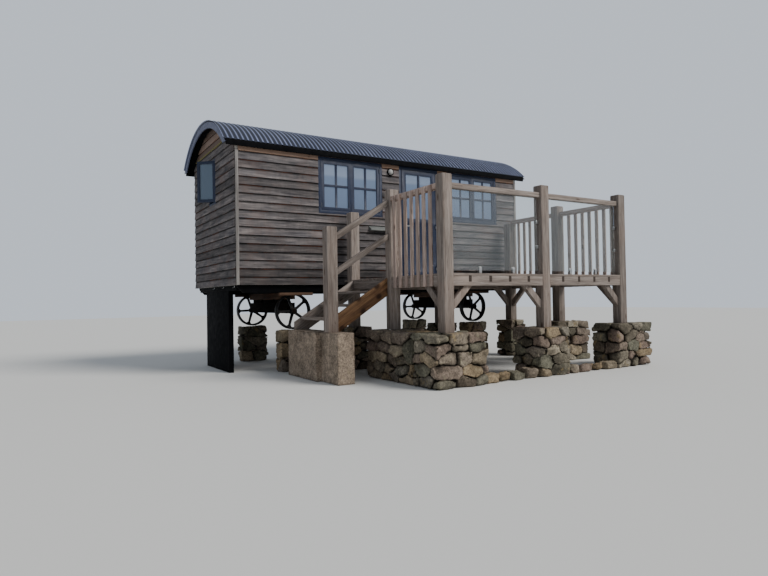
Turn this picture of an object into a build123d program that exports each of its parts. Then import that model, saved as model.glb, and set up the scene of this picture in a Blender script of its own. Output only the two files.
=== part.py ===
from build123d import *
import math
import os

os.makedirs("parts", exist_ok=True)

# Millimetres. +X runs along the hut, -Y is the deck side, +Z is up.
# The origin is at the middle of the whole object, on the lowest ground that it stands on.

# Hut body
hut_length = 5640.0
hut_width = 2350.0
body_base = 1350.0
wall_thickness = 100.0
floor_thickness = 60.0
corner_board_width = 62.0
corner_board_thickness = 24.0
corner_board_drop = 118.0

# Roof, its eaves measured up from the head of the door
head_to_eaves = 54.0
roof_rise = 550.0
eaves_overhang = 100.0
end_overhang = 215.0
sheet_depth = 18.0
roof_board = 40.0
roof_board_setback = 40.0
fascia_depth = 58.0
fascia_thickness = 25.0
barge_depth = 120.0
barge_thickness = 24.0
barge_setback = 4.0
barge_foot_setback = 10.0

# Fit clearances
seat_gap = 0.4
door_gap = 6.0
door_swing_gap = 8.0
wheel_seat_gap = 0.5
bore_gap = 0.5

# Chassis and running gear, measured down from the underside of the walls
chassis_setback = 40.0
chassis_depth = 120.0
chassis_beam_width = 80.0
chassis_rake = 90.0
cross_member_depth = 80.0
cross_member_count = 3
wheel_radius = 285.0
wheel_centre_drop = 415.0
wheel_inset = 200.0
rim_width = 100.0
rim_depth = 34.0
rim_tread = 14.0
rim_rib = 30.0
hub_radius = 48.0
hub_length = 130.0
spoke_count = 5
spoke_turn = 38.0
spoke_root = 46.0
spoke_tip = 36.0
spoke_flare = 30.0
spoke_thickness = 22.0
axle_from_end = 970.0
axle_beam_width = 130.0
axle_beam_drop = 280.0
axle_beam_depth = 170.0
axle_stub_radius = 24.0
axle_cap_radius = 40.0
axle_cap_thickness = 12.0
bolster_width = 140.0
bolster_height = 105.0
axle_pad_width = 110.0
axle_pad_length = 410.0
axle_pad_pitch = 540.0
axle_pad_count = 3
packer_length = 560.0
packer_depth = 45.0
stand_from_end = 42.0
stand_thickness = 76.0
stand_width = 1290.0

# Front windows, each a pair of casements
window_width = 1196.0
window_height = 915.0
window_head_drop = 6.0
window_right_inset = 512.0
window_to_door = 212.0
door_to_window = 346.0
frame_width = 52.0
frame_depth = 90.0
frame_proud = 12.0
sash_stile = 56.0
sash_depth = 44.0
sash_setback = 4.0
glazing_bar = 38.0
glazing_bar_depth = 30.0
glass_thickness = 16.0

# End windows, each one small casement
end_window_width = 380.0
end_window_height = 740.0
end_window_head_rise = 19.0
end_sash_stile = 46.0
end_frame_width = 34.0
end_sash_open = 50.0

# Door
door_width = 830.0
door_head = 2066.0
threshold = 75.0
leaf_thickness = 44.0
leaf_stile = 84.0
leaf_top_rail = 74.0
leaf_glass_bottom = 1160.0
leaf_bottom_rail = 150.0
leaf_recess = 12.0
hinge_radius = 8.0
hinge_knuckle = 45.0
hinge_plate = 3.0
hinge_reach = 34.0
hinge_count = 3
hinge_end_distance = 220.0
handle_height = 1020.0
handle_reach = 55.0
handle_length = 120.0
handle_radius = 9.0
handle_plate = 4.0
handle_plate_width = 36.0
handle_plate_height = 150.0

# Lamp and vent hood on the front wall
lamp_from_door = 185.0
lamp_drop = 189.0
lamp_radius = 62.0
lamp_reach = 70.0
hood_from_door = 620.0
hood_width = 420.0
hood_drop = 155.0
hood_height = 85.0
hood_reach = 90.0
hood_lip = 25.0

# Deck, measured from the front wall and the underside of the walls
post = 150.0
post_chamfer = 8.0
deck_right_inset = 300.0
right_bay = 1840.0
left_bay = 1727.0
deck_reach = 2690.0
middle_post_reach = 1470.0
rear_post_reach = 300.0
deck_top = 65.0
deck_board_thickness = 28.0
post_foot = 680.0
post_top = 1316.0
rear_post_top = 1150.0
beam_depth = 131.0
beam_width = 110.0
beam_setback = 4.0
joist_width = 45.0
joist_depth = 80.0
joists_per_bay = 4
brace_reach = 330.0
brace_thickness = 70.0
brace_depth = 90.0

# Balustrade
rail_top = 1210.0
rail_depth = 70.0
rail_width = 95.0
picket_width = 96.0
picket_thickness = 22.0
picket_pitch = 142.0
picket_top = 1165.0
picket_bottom = -95.0
glass_panel_thickness = 12.0
glass_panel_bottom = 110.0
glass_panel_gap = 30.0
clamp_size = 46.0
clamp_jaw = 12.0
clamp_inset = 470.0
clamp_heights = (425.0, 770.0)

# Stair
stair_reach = 998.0
newel_top = 737.0
stringer_thickness = 45.0
stringer_depth = 215.0
stringer_drop = 10.0
riser_count = 4
tread_going = 300.0
tread_thickness = 40.0
tread_depth = 250.0
handrail_height = 1174.0
handrail_depth = 80.0
mid_rail_height = 694.0
mid_rail_depth = 76.0
stair_rail_thickness = 60.0
foot_block_width = 250.0
foot_block_length = 500.0
foot_block_back = 240.0
foot_sill_step = 75.0
foot_sill_end = 50.0

# Dry-stone work, measured like the deck
pier_front_reach = 2850.0
left_wall_lead = 273.0
left_wall_thickness = 550.0
left_wall_front_width = 850.0
left_wall_back_reach = 1150.0
square_pier_reach = 2800.0
middle_pier_lead = 210.0
middle_pier_width = 630.0
pier_depth = 530.0
right_pier_lead = 360.0
right_pier_width = 820.0
back_pier_reach = 1620.0
rear_pier_size = 420.0
plinth_length = 520.0
plinth_width = 300.0
kerb_height = 150.0
kerb_width = 200.0
stone_corner = 60.0

# Derived places
eaves_height = door_head + head_to_eaves
window_sill = door_head - window_head_drop - window_height
end_window_sill = door_head + end_window_head_rise - end_window_height
hood_top = window_sill - hood_drop
window_right = hut_length - window_right_inset - window_width
door_left = window_right - window_to_door - door_width
window_left = door_left - door_to_window - window_width
lamp_x = door_left - lamp_from_door
hood_left = door_left - hood_from_door
deck_right = hut_length - deck_right_inset
middle_post = deck_right - right_bay
deck_left = middle_post - left_bay
stair_left = deck_left - stair_reach
left_wall_left = deck_left - left_wall_lead
middle_pier_left = middle_post - middle_pier_lead
right_pier_left = deck_right - right_pier_lead
sash_outer = frame_proud - sash_setback
end_sash_width = end_window_width - 2 * end_frame_width - 2 * seat_gap
open_sash_reach = sash_outer + end_sash_width * math.sin(math.radians(end_sash_open))
left = (max(end_overhang, open_sash_reach) - end_overhang - hut_length) / 2
right = left + hut_length
front = (pier_front_reach - hut_width - eaves_overhang) / 2
rear = front + hut_width
middle_y = (front + rear) / 2
sheet_half_width = hut_width / 2 + eaves_overhang
sheet_radius = (sheet_half_width**2 + roof_rise**2) / (2 * roof_rise)
roof_centre = body_base + eaves_height + roof_rise - sheet_radius
board_radius = sheet_radius - sheet_depth
wall_radius = board_radius - roof_board - seat_gap
wheel_centre = body_base - wheel_centre_drop
pier_top = body_base - post_foot
deck_back = front - frame_proud - seat_gap


def along(distance):
    """A place along the hut, measured from its left end."""
    return left + distance


def out(distance):
    """A place in front of the hut, measured from its front wall."""
    return front - distance


def up(height):
    """A height, measured from the underside of the walls."""
    return body_base + height


def bar(x0, x1, y0, y1, z0, z1, mode=Mode.ADD):
    """A square-edged bar between two corners."""
    with Locations(((x0 + x1) / 2, (y0 + y1) / 2, (z0 + z1) / 2)):
        Box(x1 - x0, y1 - y0, z1 - z0, mode=mode)


def save(piece, name):
    """Labels a finished piece and writes it."""
    piece.part.label = name
    export_step(piece.part, f"parts/{name}.step")


def square_ring(x0, x1, y0, y1, z0, z1, width):
    """A rectangular frame seen along Y."""
    bar(x0, x1, y0, y1, z0, z1)
    bar(x0 + width, x1 - width, y0, y1, z0 + width, z1 - width, mode=Mode.SUBTRACT)


def disc(x, z, y0, y1, radius, mode=Mode.ADD):
    """A round bar along Y."""
    with BuildSketch(Plane.XZ.offset(-y0)) as profile:
        with Locations((x, z)):
            Circle(radius)
    extrude(profile.sketch, amount=y0 - y1, mode=mode)


# Everything above the underside of the roof, used to trim the tops of the walls
with BuildPart() as above_roof:
    with BuildSketch(Plane.YZ.offset(left)):
        with Locations((middle_y, roof_centre)):
            Rectangle(2 * hut_width, 2 * sheet_radius, align=(Align.CENTER, Align.MIN))
            Circle(wall_radius, mode=Mode.SUBTRACT)
    extrude(amount=hut_length)
wall_height = up(eaves_height + roof_rise)


# Chassis: two side beams, raked at their ends, with cross members between them
chassis_left = left + chassis_setback
chassis_right = right - chassis_setback
chassis_front = front + chassis_setback
chassis_rear = rear - chassis_setback
with BuildPart() as chassis_side_beams:
    for y in (chassis_front, chassis_rear - chassis_beam_width):
        bar(chassis_left, chassis_right, y, y + chassis_beam_width, up(-chassis_depth), body_base)
    chamfer(chassis_side_beams.edges().filter_by(Axis.Y).group_by(Axis.Z)[0], chassis_rake)
save(chassis_side_beams, "chassis_side_beams")

axle_places = {"left": along(axle_from_end), "right": right - axle_from_end}
cross_pitch = (axle_places["right"] - axle_places["left"]) / (cross_member_count + 1)
cross_members = [
    (chassis_left + chassis_beam_width / 2, chassis_beam_width, cross_member_depth),
    (axle_places["left"], bolster_width, chassis_depth),
    (axle_places["right"], bolster_width, chassis_depth),
    (chassis_right - chassis_beam_width / 2, chassis_beam_width, cross_member_depth),
]
for i in range(cross_member_count):
    cross_x = axle_places["left"] + cross_pitch * (i + 1)
    cross_members.append((cross_x, chassis_beam_width, cross_member_depth))
with BuildPart() as chassis_cross_members:
    for x, width, depth in cross_members:
        bar(
            x - width / 2,
            x + width / 2,
            chassis_front + chassis_beam_width,
            chassis_rear - chassis_beam_width,
            up(-depth),
            body_base,
        )
save(chassis_cross_members, "chassis_cross_members")

# Axles: a deep beam with a round stub at each end, hung from a timber bolster on short pads
wheel_lines = {"front": front + wheel_inset, "rear": rear - wheel_inset}
beam_end_gap = hub_length / 2 + seat_gap
beam_front = wheel_lines["front"] + beam_end_gap
beam_rear = wheel_lines["rear"] - beam_end_gap
stub_start = wheel_lines["front"] - beam_end_gap - axle_cap_thickness
stub_end = wheel_lines["rear"] + beam_end_gap + axle_cap_thickness
bolster_bottom = up(-chassis_depth - bolster_height)
axle_beam_top = up(-axle_beam_drop)
first_pad = middle_y - axle_pad_pitch * (axle_pad_count - 1) / 2
for side, x in axle_places.items():
    with BuildPart() as axle:
        bar(
            x - axle_beam_width / 2,
            x + axle_beam_width / 2,
            beam_front,
            beam_rear,
            axle_beam_top - axle_beam_depth,
            axle_beam_top,
        )
        for i in range(axle_pad_count):
            y = first_pad + axle_pad_pitch * i
            bar(
                x - axle_pad_width / 2,
                x + axle_pad_width / 2,
                y - axle_pad_length / 2,
                y + axle_pad_length / 2,
                axle_beam_top,
                bolster_bottom,
            )
        disc(x, wheel_centre, stub_start, stub_end, axle_stub_radius)
        disc(x, wheel_centre, stub_start, stub_start + axle_cap_thickness, axle_cap_radius)
        disc(x, wheel_centre, stub_end - axle_cap_thickness, stub_end, axle_cap_radius)
    save(axle, f"{side}_axle")

with BuildPart() as bolsters:
    for x in axle_places.values():
        bar(
            x - bolster_width / 2,
            x + bolster_width / 2,
            beam_front,
            beam_rear,
            bolster_bottom,
            up(-chassis_depth),
        )
save(bolsters, "bolsters")

# A packer board under each side beam, over the axle
with BuildPart() as packer_boards:
    for x in axle_places.values():
        for y in (chassis_front, chassis_rear - chassis_beam_width):
            bar(
                x - packer_length / 2,
                x + packer_length / 2,
                y,
                y + chassis_beam_width,
                up(-chassis_depth - packer_depth),
                up(-chassis_depth),
            )
save(packer_boards, "packer_boards")

# Wheels: one casting of a rim with an inner rib, a turned hub, and spokes flared at the rim
rim_inner = wheel_radius - rim_depth
rim_outline = [
    (wheel_radius, -rim_width / 2),
    (wheel_radius, rim_width / 2),
    (wheel_radius - rim_tread, rim_width / 2),
    (rim_inner, rim_rib / 2),
    (rim_inner, -rim_rib / 2),
    (wheel_radius - rim_tread, -rim_width / 2),
]
hub_bore = axle_stub_radius + bore_gap
hub_outline = [
    (hub_bore, -hub_length / 2),
    (hub_bore, hub_length / 2),
    (hub_radius, hub_length / 2),
    (hub_radius, -hub_length / 2),
]

# One spoke along X, from inside the hub to inside the rim
spoke_start = (hub_bore + hub_radius) / 2
spoke_end = (rim_inner + wheel_radius - rim_tread) / 2
flare_start = rim_inner - spoke_flare
flare_end = spoke_tip / 2 + spoke_end - flare_start
with BuildSketch() as spoke:
    Polygon(
        (spoke_start, -spoke_root / 2),
        (flare_start, -spoke_tip / 2),
        (spoke_end, -flare_end),
        (spoke_end, flare_end),
        (flare_start, spoke_tip / 2),
        (spoke_start, spoke_root / 2),
        align=None,
    )


def turned(x, y, outline):
    """A ring turned about a wheel's centre line, from its outline as radius and distance along it."""
    with BuildSketch(Plane((x, y, wheel_centre))) as profile:
        Polygon(*outline, align=None)
    revolve(profile.sketch, axis=Axis((x, y, wheel_centre), (0, 1, 0)))


for side, x in axle_places.items():
    for row, y in wheel_lines.items():
        with BuildPart() as wheel:
            with BuildSketch(Plane.XZ.offset(-y)):
                with Locations((x, wheel_centre)):
                    with PolarLocations(0, spoke_count, start_angle=spoke_turn):
                        add(spoke.sketch)
            extrude(amount=spoke_thickness / 2, both=True)
            turned(x, y, rim_outline)
            turned(x, y, hub_outline)
        save(wheel, f"{row}_{side}_wheel")

# Stand under the left end
with BuildPart() as end_stand:
    bar(
        left + stand_from_end,
        left + stand_from_end + stand_thickness,
        middle_y - stand_width / 2,
        middle_y + stand_width / 2,
        0,
        up(-cross_member_depth),
    )
save(end_stand, "end_stand")

# Floor between the walls
with BuildPart() as floor:
    bar(
        left + wall_thickness,
        right - wall_thickness,
        front + wall_thickness,
        rear - wall_thickness,
        body_base,
        up(floor_thickness),
    )
save(floor, "floor")

# Walls, their tops trimmed to the roof's curve
door_right = door_left + door_width


def long_wall(x0, x1, y0, bottom):
    """A length of front or rear wall."""
    bar(along(x0), along(x1), y0, y0 + wall_thickness, bottom, wall_height)
    add(above_roof.part, mode=Mode.SUBTRACT)


def window_hole(x0, y0):
    """The hole for a window in a front or rear wall."""
    bar(
        along(x0),
        along(x0 + window_width),
        y0,
        y0 + wall_thickness,
        up(window_sill),
        up(window_sill + window_height),
        mode=Mode.SUBTRACT,
    )


with BuildPart() as front_wall_left:
    long_wall(0.0, door_left, front, body_base)
    window_hole(window_left, front)
save(front_wall_left, "front_wall_left")

with BuildPart() as front_wall_right:
    long_wall(door_right, hut_length, front, body_base)
    window_hole(window_right, front)
save(front_wall_right, "front_wall_right")

with BuildPart() as front_wall_over_door:
    long_wall(door_left, door_right, front, up(door_head))
save(front_wall_over_door, "front_wall_over_door")

rear_window_left = (hut_length - window_width) / 2
with BuildPart() as rear_wall:
    long_wall(0.0, hut_length, rear - wall_thickness, body_base)
    window_hole(rear_window_left, rear - wall_thickness)
save(rear_wall, "rear_wall")

for name, x in (("left_end_wall", left), ("right_end_wall", right - wall_thickness)):
    with BuildPart() as end_wall:
        bar(x, x + wall_thickness, front + wall_thickness, rear - wall_thickness, body_base, wall_height)
        add(above_roof.part, mode=Mode.SUBTRACT)
        bar(
            x,
            x + wall_thickness,
            middle_y - end_window_width / 2,
            middle_y + end_window_width / 2,
            up(end_window_sill),
            up(end_window_sill + end_window_height),
            mode=Mode.SUBTRACT,
        )
    save(end_wall, name)

# Corner boards, one on each corner of the long walls
with BuildPart() as corner_boards:
    for x in (left, right - corner_board_width):
        for y in (front - corner_board_thickness, rear):
            bar(
                x,
                x + corner_board_width,
                y,
                y + corner_board_thickness,
                body_base,
                up(eaves_height - corner_board_drop),
            )
save(corner_boards, "corner_boards")

# Roof: curved boarding, sheets over it, barge boards at the ends and fascias at the eaves
roof_left = left - end_overhang
roof_length = hut_length + 2 * end_overhang


def arched(x, length, outer, inner, half_width):
    """A length of roof between two radii."""
    with BuildSketch(Plane.YZ.offset(x)) as profile:
        with Locations((middle_y, roof_centre)):
            Circle(outer)
            Circle(inner, mode=Mode.SUBTRACT)
            Rectangle(2 * half_width, sheet_radius, align=(Align.CENTER, Align.MIN), mode=Mode.INTERSECT)
    extrude(profile.sketch, amount=length)


barge_inset = barge_setback + barge_thickness
with BuildPart() as roof_boards:
    arched(
        roof_left + barge_inset,
        roof_length - 2 * barge_inset,
        board_radius,
        board_radius - roof_board,
        sheet_half_width - roof_board_setback,
    )
save(roof_boards, "roof_boards")

with BuildPart() as roof_sheets:
    arched(roof_left, roof_length, sheet_radius, board_radius, sheet_half_width)
save(roof_sheets, "roof_sheets")

fascia_offset = sheet_half_width - roof_board_setback + seat_gap
fascia_top = roof_centre + math.sqrt(board_radius**2 - (fascia_offset + fascia_thickness) ** 2) - seat_gap
fascia_bottom = fascia_top - fascia_depth
with BuildPart() as barge_boards:
    for x in (roof_left + barge_setback, roof_left + roof_length - barge_inset):
        arched(
            x,
            barge_thickness,
            board_radius,
            board_radius - barge_depth,
            sheet_half_width - barge_foot_setback,
        )
    bar(
        roof_left,
        roof_left + roof_length,
        middle_y - sheet_half_width,
        middle_y + sheet_half_width,
        body_base,
        fascia_bottom,
        mode=Mode.SUBTRACT,
    )
save(barge_boards, "barge_boards")

with BuildPart() as eaves_fascias:
    for y in (middle_y - fascia_offset - fascia_thickness, middle_y + fascia_offset):
        bar(
            roof_left + barge_inset,
            roof_left + roof_length - barge_inset,
            y,
            y + fascia_thickness,
            fascia_bottom,
            fascia_top,
        )
save(eaves_fascias, "eaves_fascias")


# Windows
# Each long-wall window: its left edge, its outer face and the direction that it faces
long_windows = [
    (along(window_left), front, -1),
    (along(window_right), front, -1),
    (along(rear_window_left), rear, 1),
]
window_bottom = up(window_sill)
window_top = window_bottom + window_height


def layer(face, facing, outer, depth):
    """Two places in Y, from how far a layer stands out of a wall and how deep it is."""
    y0 = face + facing * outer
    y1 = y0 - facing * depth
    return min(y0, y1), max(y0, y1)


with BuildPart() as window_frames:
    for x, face, facing in long_windows:
        y0, y1 = layer(face, facing, frame_proud, frame_depth)
        square_ring(x, x + window_width, y0, y1, window_bottom, window_top, frame_width)
save(window_frames, "window_frames")

casement = (window_width - 2 * frame_width) / 2
with BuildPart() as window_sashes:
    for x, face, facing in long_windows:
        y0, y1 = layer(face, facing, sash_outer, sash_depth)
        b0, b1 = layer(face, facing, sash_outer - (sash_depth - glazing_bar_depth) / 2, glazing_bar_depth)
        for leaf in range(2):
            x0 = x + frame_width + leaf * casement + seat_gap
            x1 = x0 + casement - 2 * seat_gap
            z0 = window_bottom + frame_width + seat_gap
            z1 = window_top - frame_width - seat_gap
            square_ring(x0, x1, y0, y1, z0, z1, sash_stile)
            xm = (x0 + x1) / 2
            zm = (z0 + z1) / 2
            bar(xm - glazing_bar / 2, xm + glazing_bar / 2, b0, b1, z0 + sash_stile, z1 - sash_stile)
            bar(x0 + sash_stile, x1 - sash_stile, b0, b1, zm - glazing_bar / 2, zm + glazing_bar / 2)
save(window_sashes, "window_sashes")

with BuildPart() as window_glass:
    for x, face, facing in long_windows:
        y0, y1 = layer(face, facing, sash_outer - (sash_depth - glass_thickness) / 2, glass_thickness)
        for leaf in range(2):
            x0 = x + frame_width + leaf * casement + seat_gap + sash_stile
            x1 = x0 + casement - 2 * seat_gap - 2 * sash_stile
            z0 = window_bottom + frame_width + seat_gap + sash_stile
            z1 = window_top - frame_width - seat_gap - sash_stile
            xm = (x0 + x1) / 2
            zm = (z0 + z1) / 2
            for p0, p1 in ((x0, xm - glazing_bar / 2), (xm + glazing_bar / 2, x1)):
                for q0, q1 in ((z0, zm - glazing_bar / 2), (zm + glazing_bar / 2, z1)):
                    bar(p0, p1, y0, y1, q0, q1)
save(window_glass, "window_glass")

# End windows: the left casement stands open, the right one is shut
end_bottom = up(end_window_sill)
end_top = end_bottom + end_window_height
end_y0 = middle_y - end_window_width / 2
end_y1 = middle_y + end_window_width / 2
with BuildPart() as end_window_frames:
    for x in (left - frame_proud, right + frame_proud - frame_depth):
        bar(x, x + frame_depth, end_y0, end_y1, end_bottom, end_top)
        bar(
            x,
            x + frame_depth,
            end_y0 + end_frame_width,
            end_y1 - end_frame_width,
            end_bottom + end_frame_width,
            end_top - end_frame_width,
            mode=Mode.SUBTRACT,
        )
save(end_window_frames, "end_window_frames")

end_sash_height = end_window_height - 2 * end_frame_width - 2 * seat_gap
end_sash_base = end_bottom + end_frame_width + seat_gap
end_hinge_y = end_y0 + end_frame_width + seat_gap
end_sash_planes = [
    Plane(
        origin=(left - sash_outer, end_hinge_y, end_sash_base),
        x_dir=Vector(0, 1, 0).rotate(Axis.Z, end_sash_open),
        z_dir=Vector(1, 0, 0).rotate(Axis.Z, end_sash_open),
    ),
    Plane(
        origin=(right + sash_outer - sash_depth, end_hinge_y, end_sash_base),
        x_dir=(0, 1, 0),
        z_dir=(1, 0, 0),
    ),
]
end_glass_width = end_sash_width - 2 * end_sash_stile
end_glass_height = end_sash_height - 2 * end_sash_stile
with BuildPart() as end_window_sashes:
    for plane in end_sash_planes:
        with BuildSketch(plane):
            Rectangle(end_sash_width, end_sash_height, align=(Align.MIN, Align.MIN))
            with Locations((end_sash_stile, end_sash_stile)):
                Rectangle(
                    end_glass_width, end_glass_height, align=(Align.MIN, Align.MIN), mode=Mode.SUBTRACT
                )
        extrude(amount=sash_depth)
save(end_window_sashes, "end_window_sashes")

with BuildPart() as end_window_glass:
    for plane in end_sash_planes:
        with BuildSketch(plane.offset((sash_depth - glass_thickness) / 2)):
            with Locations((end_sash_stile, end_sash_stile)):
                Rectangle(end_glass_width, end_glass_height, align=(Align.MIN, Align.MIN))
        extrude(amount=glass_thickness)
save(end_window_glass, "end_window_glass")

# Door: a frame with a threshold, a glazed leaf that opens outward, and its hinges and handle
frame_left = along(door_left)
frame_right = along(door_right)
frame_y0 = front - frame_proud
frame_y1 = frame_y0 + frame_depth
with BuildPart() as door_frame:
    bar(frame_left, frame_right, frame_y0, frame_y1, body_base, up(door_head))
    bar(
        frame_left + frame_width,
        frame_right - frame_width,
        frame_y0,
        frame_y1,
        up(threshold),
        up(door_head - frame_width),
        mode=Mode.SUBTRACT,
    )
save(door_frame, "door_frame")

leaf_x0 = frame_left + frame_width + door_swing_gap
leaf_x1 = frame_right - frame_width - door_gap
leaf_z0 = up(threshold + door_gap)
leaf_z1 = up(door_head - frame_width - door_gap)
leaf_y0 = frame_y0
leaf_y1 = leaf_y0 + leaf_thickness
pane_z0 = up(leaf_glass_bottom)
pane_z1 = leaf_z1 - leaf_top_rail
leaf_middle = (leaf_x0 + leaf_x1) / 2
pane_y0 = leaf_y0 + (leaf_thickness - glass_thickness) / 2
door_panes = [
    (leaf_x0 + leaf_stile, leaf_middle - glazing_bar / 2),
    (leaf_middle + glazing_bar / 2, leaf_x1 - leaf_stile),
]
hinge_x = frame_right - frame_width - door_gap / 2
hinge_y = frame_y0 - hinge_radius
hinge_pitch = (leaf_z1 - leaf_z0 - 2 * hinge_end_distance) / (hinge_count - 1)
hinge_heights = [leaf_z0 + hinge_end_distance + hinge_pitch * i for i in range(hinge_count)]


def hinge_half(z0, x_end):
    """A knuckle on the hinge line and the plate that carries it."""
    with BuildSketch(Plane.XY.offset(z0)) as profile:
        with Locations((hinge_x, hinge_y)):
            Circle(hinge_radius)
        with Locations(((hinge_x + x_end) / 2, frame_y0 - hinge_plate / 2)):
            Rectangle(abs(x_end - hinge_x), hinge_plate)
    extrude(profile.sketch, amount=hinge_knuckle)


with BuildPart() as door_leaf:
    bar(leaf_x0, leaf_x1, leaf_y0, leaf_y1, leaf_z0, leaf_z1)
    for x0, x1 in door_panes:
        bar(x0, x1, leaf_y0, leaf_y1, pane_z0, pane_z1, mode=Mode.SUBTRACT)
    for y0 in (leaf_y0, leaf_y1 - leaf_recess):
        bar(
            leaf_x0 + leaf_stile,
            leaf_x1 - leaf_stile,
            y0,
            y0 + leaf_recess,
            leaf_z0 + leaf_bottom_rail,
            pane_z0 - leaf_bottom_rail / 2,
            mode=Mode.SUBTRACT,
        )
    for z in hinge_heights:
        hinge_half(z + seat_gap, hinge_x - hinge_reach)
save(door_leaf, "door_leaf")

with BuildPart() as door_glass:
    for x0, x1 in door_panes:
        bar(x0, x1, pane_y0, pane_y0 + glass_thickness, pane_z0, pane_z1)
save(door_glass, "door_glass")

with BuildPart() as door_hinges:
    for z in hinge_heights:
        hinge_half(z - hinge_knuckle, hinge_x + hinge_reach)
save(door_hinges, "door_hinges")

handle_x = leaf_x0 + leaf_stile / 2
with BuildPart() as door_handle:
    bar(
        handle_x - handle_plate_width / 2,
        handle_x + handle_plate_width / 2,
        leaf_y0 - handle_plate,
        leaf_y0,
        up(handle_height - handle_plate_height),
        up(handle_height + handle_plate_height / 3),
    )
    disc(handle_x, up(handle_height), leaf_y0 - handle_reach, leaf_y0 - handle_plate, handle_radius)
    bar(
        handle_x - handle_radius,
        handle_x + handle_length,
        leaf_y0 - handle_reach - handle_radius,
        leaf_y0 - handle_reach + handle_radius,
        up(handle_height - handle_radius),
        up(handle_height + handle_radius),
    )
save(door_handle, "door_handle")

# Lamp and vent hood on the front wall
with BuildPart() as wall_lamp:
    disc(along(lamp_x), up(eaves_height - lamp_drop), front - lamp_reach, front, lamp_radius)
save(wall_lamp, "wall_lamp")

with BuildPart() as vent_hood:
    with BuildSketch(Plane.YZ.offset(along(hood_left))):
        Polygon(
            (front, up(hood_top)),
            (front, up(hood_top - hood_height)),
            (front - hood_reach, up(hood_top - hood_height)),
            (front - hood_reach, up(hood_top - hood_height + hood_lip)),
            align=None,
        )
    extrude(amount=hood_width)
save(vent_hood, "vent_hood")

# Deck posts, standing on the stone piers
post_x = [along(deck_left), along(middle_post), along(deck_right) - post]
post_y = {"front": out(deck_reach), "middle": out(middle_post_reach), "rear": out(rear_post_reach)}
left_face = post_x[0] + beam_setback
right_face = post_x[2] + post - beam_setback
beam_top = up(deck_top - deck_board_thickness)
beam_bottom = beam_top - beam_depth
post_places = [
    (post_x[0], post_y["front"], up(post_top)),
    (post_x[1], post_y["front"], up(post_top)),
    (post_x[2], post_y["front"], up(post_top)),
    (post_x[0], post_y["middle"], up(post_top)),
    (post_x[2], post_y["middle"], up(post_top)),
    (post_x[0], post_y["rear"], up(rear_post_top)),
    (post_x[1], post_y["rear"], beam_top),
    (post_x[2], post_y["rear"], up(rear_post_top)),
]
with BuildPart() as deck_posts:
    for x, y, top in post_places:
        bar(x, x + post, y, y + post, pier_top, top)
    tops = deck_posts.faces().filter_by(Axis.Z).filter_by(lambda f: f.center().Z > up(deck_top))
    chamfer(tops.edges(), post_chamfer)
save(deck_posts, "deck_posts")

# Beams between the posts, notched on top for the joists
joist_x = []
for x0, x1 in ((post_x[0], post_x[1]), (post_x[1], post_x[2])):
    joist_pitch = (x1 - x0) / (joists_per_bay + 1)
    joist_x += [x0 + post / 2 + joist_pitch * (i + 1) for i in range(joists_per_bay)]
joist_y0 = post_y["front"] + beam_setback
joist_y1 = post_y["rear"] + post - beam_setback
with BuildPart() as cross_beams:
    for y in (post_y["front"] + beam_setback, post_y["rear"] + post - beam_setback - beam_width):
        for bay in (0, 1):
            bar(post_x[bay] + post, post_x[bay + 1], y, y + beam_width, beam_bottom, beam_top)
    for x in joist_x:
        bar(
            x - joist_width / 2 - seat_gap,
            x + joist_width / 2 + seat_gap,
            joist_y0,
            joist_y1,
            beam_top - joist_depth,
            beam_top,
            mode=Mode.SUBTRACT,
        )
save(cross_beams, "cross_beams")

with BuildPart() as side_beams:
    for x in (post_x[0] + beam_setback, post_x[2] + post - beam_setback - beam_width):
        for y0, y1 in (
            (post_y["front"] + post, post_y["middle"]),
            (post_y["middle"] + post, post_y["rear"]),
        ):
            bar(x, x + beam_width, y0, y1, beam_bottom, beam_top)
save(side_beams, "side_beams")

with BuildPart() as deck_joists:
    for x in joist_x:
        bar(
            x - joist_width / 2,
            x + joist_width / 2,
            joist_y0,
            joist_y1,
            beam_top - joist_depth,
            beam_top,
        )
save(deck_joists, "deck_joists")

with BuildPart() as deck_boards:
    bar(left_face, right_face, post_y["front"], deck_back, beam_top, up(deck_top))
    for x, y, top in post_places:
        if top > up(deck_top):
            bar(
                x - seat_gap,
                x + post + seat_gap,
                y - seat_gap,
                y + post + seat_gap,
                beam_top,
                up(deck_top),
                mode=Mode.SUBTRACT,
            )
save(deck_boards, "deck_boards")


# Knee braces between the posts and the undersides of the beams
brace_cut = brace_depth * math.sqrt(2)
brace_outline = [
    (0, -brace_reach),
    (brace_reach, 0),
    (brace_reach - brace_cut, 0),
    (0, brace_cut - brace_reach),
]
brace_inset = (post - brace_thickness) / 2
with BuildPart() as knee_braces:
    for x, y, turn in (
        (post_x[0] + post, post_y["front"], 1),
        (post_x[1], post_y["front"], -1),
        (post_x[2], post_y["front"], -1),
        (post_x[0] + post, post_y["rear"], 1),
        (post_x[2], post_y["rear"], -1),
    ):
        with BuildSketch(Plane.XZ.offset(-y - brace_inset)):
            Polygon(*[(x + turn * u, beam_bottom + v) for u, v in brace_outline], align=None)
        extrude(amount=-brace_thickness)
    for x, y, turn in (
        (post_x[0], post_y["front"] + post, 1),
        (post_x[2], post_y["front"] + post, 1),
        (post_x[2], post_y["rear"], -1),
    ):
        with BuildSketch(Plane.YZ.offset(x + brace_inset)):
            Polygon(*[(y + turn * u, beam_bottom + v) for u, v in brace_outline], align=None)
        extrude(amount=brace_thickness)
save(knee_braces, "knee_braces")

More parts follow.
